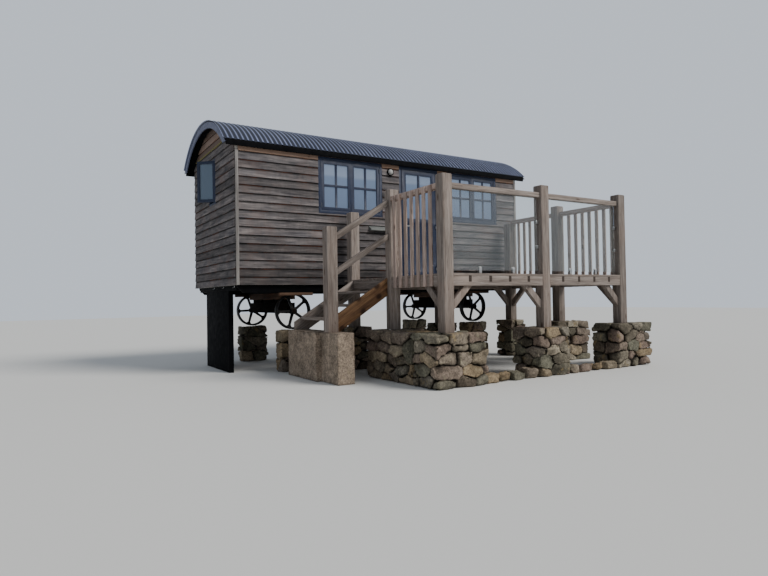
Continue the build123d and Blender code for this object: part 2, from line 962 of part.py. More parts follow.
# Front balustrade: top rails, glass and the clamps that hold it
rail_bottom = up(rail_top - rail_depth)
front_rail_y = post_y["front"] + post / 2
front_bays = [(post_x[0] + post, post_x[1]), (post_x[1] + post, post_x[2])]
with BuildPart() as front_top_rails:
    for x0, x1 in front_bays:
        bar(x0, x1, front_rail_y - rail_width / 2, front_rail_y + rail_width / 2, rail_bottom, up(rail_top))
save(front_top_rails, "front_top_rails")

panel_y0 = front_rail_y - glass_panel_thickness / 2
panel_y1 = front_rail_y + glass_panel_thickness / 2
with BuildPart() as balustrade_glass:
    for x0, x1 in front_bays:
        bar(
            x0 + glass_panel_gap,
            x1 - glass_panel_gap,
            panel_y0,
            panel_y1,
            up(glass_panel_bottom),
            rail_bottom - seat_gap,
        )
save(balustrade_glass, "balustrade_glass")


def clamp(x0, x1, z0, z1):
    """A clamp with a jaw on each face of the glass."""
    bar(x0, x1, panel_y0 - clamp_jaw, panel_y0 - seat_gap, z0, z1)
    bar(x0, x1, panel_y1 + seat_gap, panel_y1 + clamp_jaw, z0, z1)


with BuildPart() as glass_clamps:
    for x0, x1 in front_bays:
        for z in clamp_heights:
            clamp(x0, x0 + clamp_size, up(z), up(z) + clamp_size)
            clamp(x1 - clamp_size, x1, up(z), up(z) + clamp_size)
        for x in (x0 + clamp_inset, x1 - clamp_inset - clamp_size):
            clamp(x, x + clamp_size, up(deck_top), up(glass_panel_bottom) + clamp_size)
save(glass_clamps, "glass_clamps")

# Picket panels on both sides of the deck: pickets fixed outside the beam and the top rail


def picket_panel(y0, y1, face, facing):
    """A top rail between two posts and the pickets on its outer face."""
    rail_inner = face - facing * rail_width
    bar(min(face, rail_inner), max(face, rail_inner), y0, y1, rail_bottom, up(rail_top))
    picket_outer = face + facing * picket_thickness
    count = int((y1 - y0) // picket_pitch)
    first = (y0 + y1 - (count - 1) * picket_pitch) / 2
    for i in range(count):
        y = first + i * picket_pitch
        bar(
            min(face, picket_outer),
            max(face, picket_outer),
            y - picket_width / 2,
            y + picket_width / 2,
            up(picket_bottom),
            up(picket_top),
        )


front_side_bay = (post_y["front"] + post, post_y["middle"])
rear_side_bay = (post_y["middle"] + post, post_y["rear"])
with BuildPart() as left_picket_panel:
    picket_panel(*front_side_bay, left_face, -1)
save(left_picket_panel, "left_picket_panel")

with BuildPart() as right_front_picket_panel:
    picket_panel(*front_side_bay, right_face, 1)
save(right_front_picket_panel, "right_front_picket_panel")

with BuildPart() as right_rear_picket_panel:
    picket_panel(*rear_side_bay, right_face, 1)
save(right_rear_picket_panel, "right_rear_picket_panel")

# Stair: it climbs along the hut to the left edge of the deck
riser = (deck_top + post_foot) / riser_count
slope = riser / tread_going
newel_x = along(stair_left)
newel_y = post_y["middle"]
stringer_fall = stringer_depth * math.sqrt(1 + slope**2)
near_y0 = newel_y + post - stringer_thickness
far_y0 = post_y["rear"] - stringer_thickness


def stair_line(x, z_at_deck):
    """The height of a line that climbs with the stair and meets the deck edge at a given height."""
    return up(z_at_deck) - (post_x[0] - x) * slope


def stringer(x0, x1, y0):
    """A stringer cut level at its foot and upright at its ends."""
    top = deck_top - stringer_drop
    foot_x = post_x[0] - (up(top) - stringer_fall - pier_top) / slope
    with BuildSketch(Plane.XZ.offset(-y0)) as profile:
        Polygon(
            (x0, pier_top),
            (foot_x, pier_top),
            (x1, stair_line(x1, top) - stringer_fall),
            (x1, stair_line(x1, top)),
            (x0, stair_line(x0, top)),
            align=None,
        )
    extrude(profile.sketch, amount=-stringer_thickness)


with BuildPart() as near_stringer:
    stringer(newel_x + post, post_x[0], near_y0)
save(near_stringer, "near_stringer")

with BuildPart() as far_stringer:
    stringer(newel_x, left_face, far_y0)
save(far_stringer, "far_stringer")

with BuildPart() as stair_treads:
    for i in range(1, riser_count):
        x = post_x[0] - tread_going * i
        z = up(deck_top) - riser * i
        bar(x, x + tread_depth, near_y0 + stringer_thickness, far_y0, z - tread_thickness, z)
save(stair_treads, "stair_treads")

with BuildPart() as stair_newel:
    bar(newel_x, newel_x + post, newel_y, newel_y + post, pier_top, up(newel_top))
    chamfer(stair_newel.faces().sort_by(Axis.Z)[-1].edges(), post_chamfer)
save(stair_newel, "stair_newel")

with BuildPart() as stair_rails:
    for at_deck, depth in ((handrail_height, handrail_depth), (mid_rail_height, mid_rail_depth)):
        fall = depth * math.sqrt(1 + slope**2)
        with BuildSketch(Plane.XZ.offset(-newel_y - (post - stair_rail_thickness) / 2)):
            Polygon(
                (newel_x + post, stair_line(newel_x + post, at_deck) - fall),
                (post_x[0], up(at_deck) - fall),
                (post_x[0], up(at_deck)),
                (newel_x + post, stair_line(newel_x + post, at_deck)),
                align=None,
            )
        extrude(amount=-stair_rail_thickness)
save(stair_rails, "stair_rails")

# Stone under the stair: a block for the newel and a sill for the stringers
with BuildPart() as stair_foot_stones:
    bar(
        newel_x,
        newel_x + foot_block_width,
        newel_y + foot_block_back - foot_block_length,
        newel_y + foot_block_back,
        0,
        pier_top,
    )
    bar(
        newel_x - foot_sill_step,
        newel_x + foot_block_width,
        newel_y + foot_block_back,
        post_y["rear"] + foot_sill_end,
        0,
        pier_top,
    )
save(stair_foot_stones, "stair_foot_stones")


# Dry-stone work, taken off at its corners
def stone_block(x0, x1, y0, y1, height):
    """A block of dry stone with its upright corners taken off."""
    with BuildSketch() as profile:
        with Locations(((x0 + x1) / 2, (y0 + y1) / 2)):
            Rectangle(x1 - x0, y1 - y0)
        chamfer(profile.vertices(), stone_corner)
    extrude(profile.sketch, amount=height)


with BuildPart() as front_left_stone_wall:
    with BuildSketch():
        with BuildLine():
            Polyline(
                (along(left_wall_left), out(pier_front_reach)),
                (along(left_wall_left + left_wall_front_width), out(pier_front_reach)),
                (along(left_wall_left + left_wall_front_width), out(pier_front_reach - pier_depth)),
                (along(left_wall_left + left_wall_thickness), out(pier_front_reach - pier_depth)),
                (along(left_wall_left + left_wall_thickness), out(left_wall_back_reach)),
                (along(left_wall_left), out(left_wall_back_reach)),
                close=True,
            )
        make_face()
        chamfer(vertices(), stone_corner)
    extrude(amount=pier_top)
save(front_left_stone_wall, "front_left_stone_wall")

with BuildPart() as square_stone_piers:
    stone_block(
        along(middle_pier_left),
        along(middle_pier_left + middle_pier_width),
        out(square_pier_reach),
        out(square_pier_reach - pier_depth),
        pier_top,
    )
    for reach in (square_pier_reach, back_pier_reach):
        stone_block(
            along(right_pier_left),
            along(right_pier_left + right_pier_width),
            out(reach),
            out(reach - pier_depth),
            pier_top,
        )
save(square_stone_piers, "square_stone_piers")

with BuildPart() as rear_stone_piers:
    pier_margin = (rear_pier_size - post) / 2
    for x in post_x:
        y = post_y["rear"]
        stone_block(
            x - pier_margin,
            x + post + pier_margin,
            y - pier_margin,
            y + post + pier_margin,
            pier_top,
        )
save(rear_stone_piers, "rear_stone_piers")

plinth_top = wheel_centre - wheel_radius - wheel_seat_gap
with BuildPart() as wheel_plinths:
    for x in axle_places.values():
        for y in wheel_lines.values():
            stone_block(
                x - plinth_length / 2,
                x + plinth_length / 2,
                y - plinth_width / 2,
                y + plinth_width / 2,
                plinth_top,
            )
save(wheel_plinths, "wheel_plinths")

with BuildPart() as kerb_stones:
    for x0, x1 in (
        (left_wall_left + left_wall_front_width, middle_pier_left),
        (middle_pier_left + middle_pier_width, right_pier_left),
    ):
        bar(
            along(x0),
            along(x1),
            out(square_pier_reach),
            out(square_pier_reach - kerb_width),
            0,
            kerb_height,
        )
save(kerb_stones, "kerb_stones")
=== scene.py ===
import math
import random

import bpy
from mathutils import Matrix, Vector, noise


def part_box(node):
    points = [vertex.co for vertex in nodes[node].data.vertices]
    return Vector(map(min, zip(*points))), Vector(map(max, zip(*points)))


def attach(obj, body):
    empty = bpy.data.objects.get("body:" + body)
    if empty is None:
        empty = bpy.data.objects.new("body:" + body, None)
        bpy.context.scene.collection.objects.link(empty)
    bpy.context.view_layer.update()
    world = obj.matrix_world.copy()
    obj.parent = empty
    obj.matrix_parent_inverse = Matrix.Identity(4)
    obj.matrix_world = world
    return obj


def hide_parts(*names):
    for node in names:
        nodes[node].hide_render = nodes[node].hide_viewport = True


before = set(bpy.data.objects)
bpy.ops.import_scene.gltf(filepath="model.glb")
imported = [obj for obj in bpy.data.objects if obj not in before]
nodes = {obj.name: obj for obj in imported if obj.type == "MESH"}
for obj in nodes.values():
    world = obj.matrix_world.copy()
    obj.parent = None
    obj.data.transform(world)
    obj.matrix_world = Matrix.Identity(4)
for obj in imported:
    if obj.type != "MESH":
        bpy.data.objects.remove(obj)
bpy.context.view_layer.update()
rng = random.Random(11)

# The faces and heights that the pieces are set out from, read off the CAD nodes
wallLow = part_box("front_wall_left")[0]
rearLow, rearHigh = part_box("rear_wall")
roofLow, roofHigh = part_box("roof_sheets")
deckLow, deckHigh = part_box("deck_boards")
hutLeft, hutRight = rearLow.x, rearHigh.x
frontFace, rearFace, hutBase = wallLow.y, rearHigh.y, wallLow.z
middleY = (frontFace + rearFace) / 2


def deselectAll():
    if bpy.context.object and bpy.context.object.mode != "OBJECT":
        bpy.ops.object.mode_set(mode="OBJECT")
    bpy.ops.object.select_all(action="DESELECT")


def makeActive(piece):
    deselectAll()
    piece.select_set(True)
    bpy.context.view_layer.objects.active = piece


def openMesh(piece):
    makeActive(piece)
    bpy.ops.object.mode_set(mode="EDIT")
    bpy.ops.mesh.select_all(action="SELECT")


def closeMesh():
    bpy.ops.object.mode_set(mode="OBJECT")


def settle(piece):
    makeActive(piece)
    bpy.ops.object.transform_apply(location=True, rotation=True, scale=True)
    return piece


def finishModifier(piece, kind, **settings):
    makeActive(piece)
    modifier = piece.modifiers.new(kind, kind)
    for key, value in settings.items():
        setattr(modifier, key, value)
    bpy.ops.object.modifier_apply(modifier=modifier.name)
    return piece


def block(name, low, high):
    deselectAll()
    low, high = Vector(low), Vector(high)
    bpy.ops.mesh.primitive_cube_add(size=1, location=(low + high) / 2)
    piece = bpy.context.object
    piece.name = piece.data.name = name
    piece.scale = high - low
    return settle(piece)


def drum(name, centre, radius, depth, axis="Z", vertices=32):
    turns = {"Z": (0, 0, 0), "Y": (math.pi / 2, 0, 0), "X": (0, math.pi / 2, 0)}
    deselectAll()
    bpy.ops.mesh.primitive_cylinder_add(
        vertices=vertices, radius=radius, depth=depth, location=centre, rotation=turns[axis]
    )
    piece = bpy.context.object
    piece.name = piece.data.name = name
    return settle(piece)


def joinPieces(name, pieces):
    deselectAll()
    for piece in pieces:
        piece.select_set(True)
    bpy.context.view_layer.objects.active = pieces[0]
    if len(pieces) > 1:
        bpy.ops.object.join()
    pieces[0].name = pieces[0].data.name = name
    return pieces[0]


def quad(corners):
    deselectAll()
    bpy.ops.mesh.primitive_plane_add(size=1)
    piece = bpy.context.object
    for vertex, corner in zip(piece.data.vertices, corners):
        vertex.co = corner
    return piece


def normalsOut(piece):
    openMesh(piece)
    bpy.ops.mesh.normals_make_consistent(inside=False)
    closeMesh()


def smoothBelow(piece, angle):
    makeActive(piece)
    bpy.ops.object.shade_smooth_by_angle(angle=math.radians(angle))


def bevel(piece, width, segments, angle):
    limit = {"limit_method": "ANGLE", "angle_limit": math.radians(angle)}
    finishModifier(piece, "BEVEL", width=width, segments=segments, **limit)


def softEdges(piece, width, segments=2, angle=30):
    bevel(piece, width, segments, angle)
    smoothBelow(piece, 35)
    return piece


def cutAway(origin, normal):
    bpy.ops.mesh.bisect(plane_co=origin, plane_no=normal, use_fill=True, clear_outer=True)


def cutWith(piece, tool, operation="DIFFERENCE"):
    finishModifier(piece, "BOOLEAN", operation=operation, object=tool, solver="EXACT")
    return piece


def drop(piece):
    bpy.data.objects.remove(piece)


def mergedCopy(name, nodeName, flatten=False, clearNormals=False):
    piece = bpy.data.objects.new(name, nodes[nodeName].data.copy())
    bpy.context.collection.objects.link(piece)
    makeActive(piece)
    if clearNormals:
        bpy.ops.mesh.customdata_custom_splitnormals_clear()
    openMesh(piece)
    bpy.ops.mesh.remove_doubles(threshold=0.00005)
    if flatten:
        bpy.ops.mesh.dissolve_limited(angle_limit=math.radians(0.5))
    closeMesh()
    return piece


def sway(amount):
    return rng.uniform(-amount, amount)


def cornersOf(points):
    return [Vector([pick(p[k] for p in points) for k in range(3)]) for pick in (min, max)]


def groupBox(mesh, group):
    return cornersOf([mesh.vertices[v].co for i in group for v in mesh.polygons[i].vertices])


def setTint(piece, value=None):
    tint = piece.data.attributes.get("tint") or piece.data.attributes.new("tint", "FLOAT", "FACE")
    value = rng.random() if value is None else value
    tint.data.foreach_set("value", [value] * len(piece.data.polygons))
    return piece


def wear(piece, *materials):
    piece.data.materials.clear()
    for material in materials:
        piece.data.materials.append(material)
    return piece


def place(piece, slot, *replaced, body="hut"):
    if replaced:
        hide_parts(*replaced)
    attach(piece, body)


def newMaterial(name, **values):
    material = bpy.data.materials.new(name)
    material.use_nodes = True
    shader = material.node_tree.nodes["Principled BSDF"]
    for key, value in values.items():
        shader.inputs[key.replace("_", " ")].default_value = value
    return material, material.node_tree, shader


def addNode(tree, kind, inputs=None, **settings):
    node = tree.nodes.new(f"ShaderNode{kind}")
    for key, value in settings.items():
        setattr(node, key, value)
    for key, value in (inputs or {}).items():
        if isinstance(value, bpy.types.NodeSocket):
            tree.links.new(value, node.inputs[key])
        else:
            node.inputs[key].default_value = value
    return node


def ramp(tree, factor, stops):
    # each stop is a place and a colour, or a place and one number for a grey
    node = addNode(tree, "ValToRGB", {"Fac": factor})
    elements = node.color_ramp.elements
    while len(elements) < len(stops):
        elements.new(0.5)
    for element, (position, colour) in zip(elements, stops):
        element.position = position
        element.color = (*colour, 1) if isinstance(colour, tuple) else (colour, colour, colour, 1)
    return node.outputs["Color"]


def mixColour(tree, factor, first, second, blend="MIX"):
    node = addNode(tree, "Mix", {0: factor, 6: first, 7: second}, data_type="RGBA", blend_type=blend)
    return node.outputs[2]


def shade(tree, colour, factor, stops):
    return mixColour(tree, 1.0, colour, ramp(tree, factor, stops), "MULTIPLY")


def tinge(tree, colour, factor, stops, other):
    return mixColour(tree, ramp(tree, factor, stops), colour, (*other, 1))


def maths(tree, operation, first, second=0.0):
    return addNode(tree, "Math", {0: first, 1: second}, operation=operation).outputs[0]


def noiseAt(tree, vector, scale, detail=3.0, rough=0.55, distortion=0.0):
    inputs = {"Vector": vector, "Scale": scale, "Detail": detail, "Roughness": rough, "Distortion": distortion}
    return addNode(tree, "TexNoise", inputs).outputs["Fac"]


def stretched(tree, vector, scale):
    return addNode(tree, "Mapping", {"Vector": vector, "Scale": scale}).outputs[0]


def alongGrain(axis, across):
    return [1.0 if letter == axis else across for letter in "XYZ"]


def objectPoint(tree):
    return addNode(tree, "TexCoord").outputs["Object"]


def pieceTint(tree):
    return addNode(tree, "Attribute", attribute_name="tint").outputs["Fac"]


def shifted(tree, point, offset):
    offset = addNode(tree, "CombineXYZ", offset).outputs[0]
    return addNode(tree, "VectorMath", {0: point, 1: offset}, operation="ADD").outputs[0]


def between(tree, value, low, high):
    return addNode(tree, "MapRange", {"Value": value, "From Min": low, "From Max": high}).outputs[0]


def addBump(tree, shader, height, strength, distance):
    bump = addNode(tree, "Bump", {"Height": height, "Strength": strength, "Distance": distance})
    tree.links.new(bump.outputs["Normal"], shader.inputs["Normal"])


grainSpread = 16.0


def timberMaterial(name, axis, look, turn=(0, 0, 0)):
    material, tree, shader = newMaterial(name, Roughness=look["roughness"], Specular_IOR_Level=0.25)
    tint = pieceTint(tree)
    point = shifted(tree, objectPoint(tree), {0: maths(tree, "MULTIPLY", tint, 31.0), 2: tint})
    turned = addNode(tree, "Mapping", {"Vector": point, "Rotation": turn}).outputs[0]
    grain = stretched(tree, turned, alongGrain(axis, grainSpread))
    broad = noiseAt(tree, grain, look["broad"], 4.0, 0.6, 0.6)
    fine = noiseAt(tree, grain, look["fine"], 5.0, 0.7)
    patches = noiseAt(tree, turned, look["patches"], 3.0, 0.6)
    colour = ramp(tree, broad, [(0.32, look["dark"]), (0.52, look["base"]), (0.72, look["light"])])
    colour = shade(tree, colour, fine, [(0.34, 0.62), (0.5, 0.95), (0.66, 1.12)])
    colour = tinge(tree, colour, patches, [(0.48, 0), (0.68, look["stain"])], look["warm"])
    colour = shade(tree, colour, tint, [(0.0, 1 - look["spread"]), (1.0, 1 + look["spread"])])
    knotPoint = stretched(tree, turned, alongGrain(axis, look["knotAcross"]))
    if look.get("knotsThrough"):  # each knot runs through the plank, along Y
        flat = addNode(tree, "SeparateXYZ", {0: knotPoint}).outputs
        knotPoint = addNode(tree, "CombineXYZ", {0: flat[0], 1: flat[2]}).outputs[0]
    knots = addNode(tree, "TexVoronoi", {"Vector": knotPoint, "Scale": look["knots"]},
                    voronoi_dimensions="2D" if look.get("knotsThrough") else "3D").outputs["Distance"]
    colour = tinge(tree, colour, knots, [(look["eye"], 0.85), (look["eye"] * 2.4, 0)], look["knot"])
    split = noiseAt(tree, stretched(tree, turned, alongGrain(axis, 26.0)), 1.1, 2.0, 0.5, 0.3)
    crack = ramp(tree, split, [(0.488, 0), (0.499, look["cracks"]), (0.51, 0)])
    crack = maths(tree, "MULTIPLY", crack, ramp(tree, patches, [(0.46, 0), (0.56, 1)]))
    colour = mixColour(tree, crack, colour, (*look["knot"], 1))
    tree.links.new(colour, shader.inputs["Base Color"])
    depth = maths(tree, "SUBTRACT", mixColour(tree, 0.5, fine, broad), crack)
    addBump(tree, shader, depth, look["bump"], 0.004)
    return material


def endGrainMaterial(name, base, dark):
    material, tree, shader = newMaterial(name, Roughness=0.9, Specular_IOR_Level=0.15)
    point = objectPoint(tree)
    wave = {"Vector": point, "Scale": 34.0, "Distortion": 3.5, "Detail": 2.0, "Detail Scale": 1.5}
    rings = addNode(tree, "TexWave", wave, wave_type="RINGS", rings_direction="SPHERICAL").outputs["Fac"]
    pores = noiseAt(tree, point, 70.0, 4.0, 0.7)
    colour = shade(tree, ramp(tree, rings, [(0.1, dark), (0.8, base)]), pores, [(0.35, 0.6), (0.65, 1.1)])
    tree.links.new(colour, shader.inputs["Base Color"])
    addBump(tree, shader, pores, 0.5, 0.003)
    return material


def timberSet(name, look):
    return [timberMaterial(f"{name}{axis}", axis, look) for axis in "XYZ"]


weatheredOak = {
    "base": (0.258, 0.217, 0.19), "dark": (0.16, 0.13, 0.113), "light": (0.355, 0.308, 0.28),
    "warm": (0.3, 0.222, 0.18), "knot": (0.07, 0.042, 0.028), "broad": 1.6, "fine": 5.5, "patches": 1.6,
    "stain": 0.35, "spread": 0.16, "knots": 2.3, "knotAcross": 3.2, "eye": 0.06, "cracks": 0.8,
    "roughness": 0.82, "bump": 0.55,
}
newSawn = {
    "base": (0.22, 0.115, 0.054), "dark": (0.1, 0.05, 0.027), "light": (0.34, 0.2, 0.1),
    "warm": (0.13, 0.062, 0.032), "knot": (0.03, 0.013, 0.008), "broad": 1.4, "fine": 5.0, "patches": 4.5,
    "stain": 0.75, "spread": 0.1, "knots": 3.6, "knotAcross": 1.4, "knotsThrough": True, "eye": 0.1,
    "cracks": 0.5, "roughness": 0.6, "bump": 0.4,
}
oldSawn = {
    "base": (0.09, 0.052, 0.034), "dark": (0.04, 0.024, 0.017), "light": (0.16, 0.092, 0.06),
    "warm": (0.12, 0.05, 0.03), "knot": (0.02, 0.012, 0.01), "broad": 1.4, "fine": 5.0, "patches": 3.0,
    "stain": 0.4, "spread": 0.1, "knots": 2.0, "knotAcross": 3.2, "eye": 0.05, "cracks": 0.6,
    "roughness": 0.85, "bump": 0.5,
}
cornerLook = dict(
    weatheredOak, base=(0.26, 0.245, 0.235), dark=(0.17, 0.158, 0.15), light=(0.35, 0.335, 0.32),
    stain=0.15, spread=0.05, eye=0.025, cracks=0.3,
)
# the pickets' weathered oak made paler and pinker: painted light on their shaded outer faces
litPicketLook = dict(
    weatheredOak, base=(0.44, 0.34, 0.295), dark=(0.32, 0.235, 0.198), light=(0.56, 0.46, 0.41), warm=(0.52, 0.35, 0.26)
)
floorLook = dict(weatheredOak, base=(0.32, 0.22, 0.14), dark=(0.25, 0.16, 0.1), light=(0.4, 0.29, 0.19))
endGrain = endGrainMaterial("endGrain", (0.2, 0.155, 0.125), (0.11, 0.08, 0.062))
joistEnd = endGrainMaterial("joistEnd", (0.085, 0.066, 0.056), (0.045, 0.034, 0.029))
oakSet = timberSet("weatheredOak", weatheredOak) + [endGrain]
picketSet = timberSet("litPicketOak", litPicketLook)
oldSet = timberSet("oldTimber", oldSawn)
cornerSet = timberSet("cornerTimber", cornerLook)
floorPaint = timberMaterial("floorTimberX", "X", floorLook)


def claddingMaterial(name, along, look):
    material, tree, shader = newMaterial(name, Roughness=0.85, Specular_IOR_Level=0.2)
    point = objectPoint(tree)
    z = addNode(tree, "SeparateXYZ", {0: point}).outputs[2]
    # each course of boards takes its own place in the grain, and its own level
    rise = maths(tree, "DIVIDE", maths(tree, "SUBTRACT", z, hutBase - 0.004), look["exposure"])
    across = maths(tree, "FRACT", rise)
    course = maths(tree, "FLOOR", rise)
    pick = addNode(tree, "TexWhiteNoise", {"W": course}, noise_dimensions="1D").outputs["Value"]
    moved = shifted(tree, point, {0: maths(tree, "MULTIPLY", pick, 53.0), 1: maths(tree, "MULTIPLY", pick, 29.0)})
    grain = stretched(tree, moved, alongGrain(along, grainSpread))
    broad = noiseAt(tree, grain, 1.3, 5.0, 0.62, 0.8)
    fine = noiseAt(tree, grain, 5.0, 5.0, 0.72)
    patches = noiseAt(tree, moved, 2.4, 4.0, 0.65)
    marks = noiseAt(tree, stretched(tree, moved, (9.0, 9.0, 1.2)), 2.2, 3.0, 0.6)
    blotch = noiseAt(tree, stretched(tree, moved, alongGrain(along, 5.0)), 2.6, 3.0, 0.6, 0.5)
    colour = ramp(tree, broad, [(0.3, look["dark"]), (0.5, look["base"]), (0.7, look["light"])])
    colour = shade(tree, colour, fine, [(0.34, 0.7), (0.5, 0.98), (0.66, 1.1)])
    colour = shade(tree, colour, marks, [(0.38, 0.92), (0.6, 1.03)])
    colour = shade(tree, colour, blotch, look["blotches"])
    colour = tinge(tree, colour, patches, [(0.5, 0), (0.72, 0.6)], look["pink"])
    high = maths(tree, "GREATER_THAN", z, look["freshFrom"])
    fresh = mixColour(tree, patches, (*look["fresh"], 1), (*look["freshPale"], 1))
    fresh = shade(tree, fresh, fine, [(0.34, 0.72), (0.66, 1.1)])
    colour = mixColour(tree, maths(tree, "MULTIPLY", high, look["freshShare"]), colour, fresh)
    colour = shade(tree, colour, pick, [(0.0, 0.7), (1.0, 1.3)])
    # darker towards the foot of the wall: painted shade from the deck, and dirt
    height = between(tree, z, hutBase, hutBase + look["footReach"])
    colour = shade(tree, colour, height, [(0.0, look["foot"]), (0.5, look["foot"] * 0.4 + 0.6), (1.0, 1.0)])
    edge = maths(tree, "COMPARE", z, look["freshFrom"] + 0.008)
    edge.node.inputs[2].default_value = 0.011
    colour = mixColour(tree, maths(tree, "MULTIPLY", edge, look["lichenShare"]), colour, (*look["lichen"], 1))
    # painted shade under each board's lip, and a painted highlight along each board's lower edge
    colour = shade(tree, colour, across, look["lapShadeAndEdgeHighlight"])
    sliver = ramp(tree, across, [(0.86, 0), (0.9, 0.8), (1.0, 0.8)])
    sliver = maths(tree, "MULTIPLY", sliver, ramp(tree, patches, [(0.5, 0), (0.62, 1)]))
    colour = mixColour(tree, sliver, colour, (*look["underEdge"], 1))
    spot = stretched(tree, moved, alongGrain(along, 3.0))
    knots = addNode(tree, "TexVoronoi", {"Vector": spot, "Scale": 2.6}).outputs["Distance"]
    colour = tinge(tree, colour, knots, [(0.03, 0.7), (0.08, 0)], look["knot"])
    tree.links.new(colour, shader.inputs["Base Color"])
    addBump(tree, shader, mixColour(tree, 0.4, fine, marks), 0.55, 0.004)
    return material


cladding = {
    "exposure": 0.125, "lap": 0.022, "lip": 0.02, "top": 0.005, "back": 0.002, "step": 0.55, "wave": 0.0025,
    "base": (0.125, 0.115, 0.116), "dark": (0.062, 0.06, 0.062), "light": (0.2, 0.184, 0.184),
    "pink": (0.165, 0.122, 0.112), "knot": (0.05, 0.035, 0.025), "underEdge": (0.09, 0.028, 0.014),
    "blotches": [(0.32, (0.66, 0.67, 0.71)), (0.5, (0.98, 0.97, 0.97)), (0.68, (1.42, 1.36, 1.32))],
    # the lap stops paint shade under each lip and a highlight along each board's lower edge
    "lapShadeAndEdgeHighlight": [(0.0, 1.3), (0.08, 1.15), (0.2, 1.06), (0.74, 0.98), (0.86, 0.36), (0.93, 0.12), (1.0, 0.1)],
    "fresh": (0.36, 0.2, 0.115), "freshPale": (0.42, 0.3, 0.24), "freshFrom": 3.346, "freshShare": 0.85,
    # the foot darkening is painted shade from the deck, and dirt
    "foot": 0.48, "footReach": 0.9, "lichen": (0.2, 0.19, 0.07), "lichenShare": 0.0,
}
endCladding = dict(
    cladding, fresh=(0.22, 0.125, 0.075), freshPale=(0.3, 0.235, 0.205), freshFrom=3.6, freshShare=0.8,
    foot=1.0, lichenShare=0.7,
)
claddingX = claddingMaterial("claddingAlongX", "X", cladding)
claddingY = claddingMaterial("claddingAlongY", "Y", endCladding)


def paintMaterial(name, base, dark, roughness, scale, bump, gloss=0.5):
    material, tree, shader = newMaterial(name, Roughness=roughness, Specular_IOR_Level=gloss)
    point = objectPoint(tree)
    soft = noiseAt(tree, point, scale, 4.0, 0.6)
    tree.links.new(ramp(tree, soft, [(0.35, dark), (0.65, base)]), shader.inputs["Base Color"])
    rough = noiseAt(tree, point, scale * 3, 3.0)
    worn = ramp(tree, rough, [(0.3, roughness - 0.1), (0.7, roughness + 0.12)])
    tree.links.new(worn, shader.inputs["Roughness"])
    addBump(tree, shader, noiseAt(tree, point, scale * 12, 3.0), bump, 0.001)
    return material


slatePaint = paintMaterial("slatePaint", (0.0155, 0.027, 0.067), (0.01, 0.018, 0.048), 0.5, 6.0, 0.12)
# the barge boards' slate paint, made far paler than the frames' as a painted highlight
bargeHighlightPaint = paintMaterial("bargeHighlightPaint", (0.115, 0.13, 0.215), (0.085, 0.098, 0.165), 0.4, 4.0, 0.12)
# black paint made darker than the paint itself, with little sheen: partly painted shade
shadedBlackPaint = paintMaterial("shadedBlackPaint", (0.0042, 0.0045, 0.0058), (0.0025, 0.0026, 0.0034), 0.78, 5.0, 0.1, 0.08)
# rusty brown-black iron, darkened further as painted shade under the hut
shadedBeamIron = paintMaterial("shadedBeamIron", (0.011, 0.0072, 0.0055), (0.005, 0.004, 0.0035), 0.85, 9.0, 0.3, 0.06)
# paler paint for the hinge knuckles: a painted highlight on their rounded edges
knuckleHighlightPaint = paintMaterial("knuckleHighlightPaint", (0.12, 0.13, 0.15), (0.04, 0.05, 0.075), 0.4, 60.0, 0.1)
hoodPaint = paintMaterial("hoodPaint", (0.2, 0.21, 0.2), (0.14, 0.15, 0.145), 0.45, 7.0, 0.1)
liningPaint = paintMaterial("liningPaint", (0.52, 0.5, 0.46), (0.46, 0.44, 0.4), 0.6, 3.0, 0.1)

roofSheet = {
    "pitch": 0.0762, "depth": 0.0165, "thickness": 0.0014, "stepsPerWave": 8, "stepsAcross": 30,
    "eaveTrim": 0.04, "endTrim": 0.025, "base": (0.08, 0.093, 0.148), "dark": (0.06, 0.071, 0.118),
    # these stops paint a highlight along each corrugation's crest and shade in its valleys
    "crestHighlightValleyShade": [(0.0, 4.2), (0.08, 3.0), (0.22, 0.85), (0.4, 0.42), (0.66, 0.36), (0.84, 0.9), (0.94, 3.0), (1.0, 4.2)],
}
sheetLeft, sheetRight = roofLow.x + roofSheet["endTrim"], roofHigh.x
sheetWaves = round((sheetRight - sheetLeft) / roofSheet["pitch"])


def roofMaterial():
    material, tree, shader = newMaterial("roofSheetPaint", Metallic=0.25, Roughness=0.38)
    point = objectPoint(tree)
    cloud = noiseAt(tree, point, 1.4, 4.0, 0.6)
    streaks = noiseAt(tree, stretched(tree, point, (9.0, 1.0, 1.0)), 3.0, 4.0)
    colour = ramp(tree, cloud, [(0.35, roofSheet["dark"]), (0.65, roofSheet["base"])])
    colour = shade(tree, colour, streaks, [(0.35, 0.8), (0.65, 1.12)])
    x = addNode(tree, "SeparateXYZ", {0: point}).outputs[0]
    waves = maths(tree, "DIVIDE", maths(tree, "SUBTRACT", x, sheetLeft), (sheetRight - sheetLeft) / sheetWaves)
    # a painted highlight on each crest and painted shade in each valley of the corrugations
    colour = shade(tree, colour, maths(tree, "FRACT", waves), roofSheet["crestHighlightValleyShade"])
    tree.links.new(colour, shader.inputs["Base Color"])
    tree.links.new(ramp(tree, streaks, [(0.3, 0.3), (0.7, 0.48)]), shader.inputs["Roughness"])
    return material


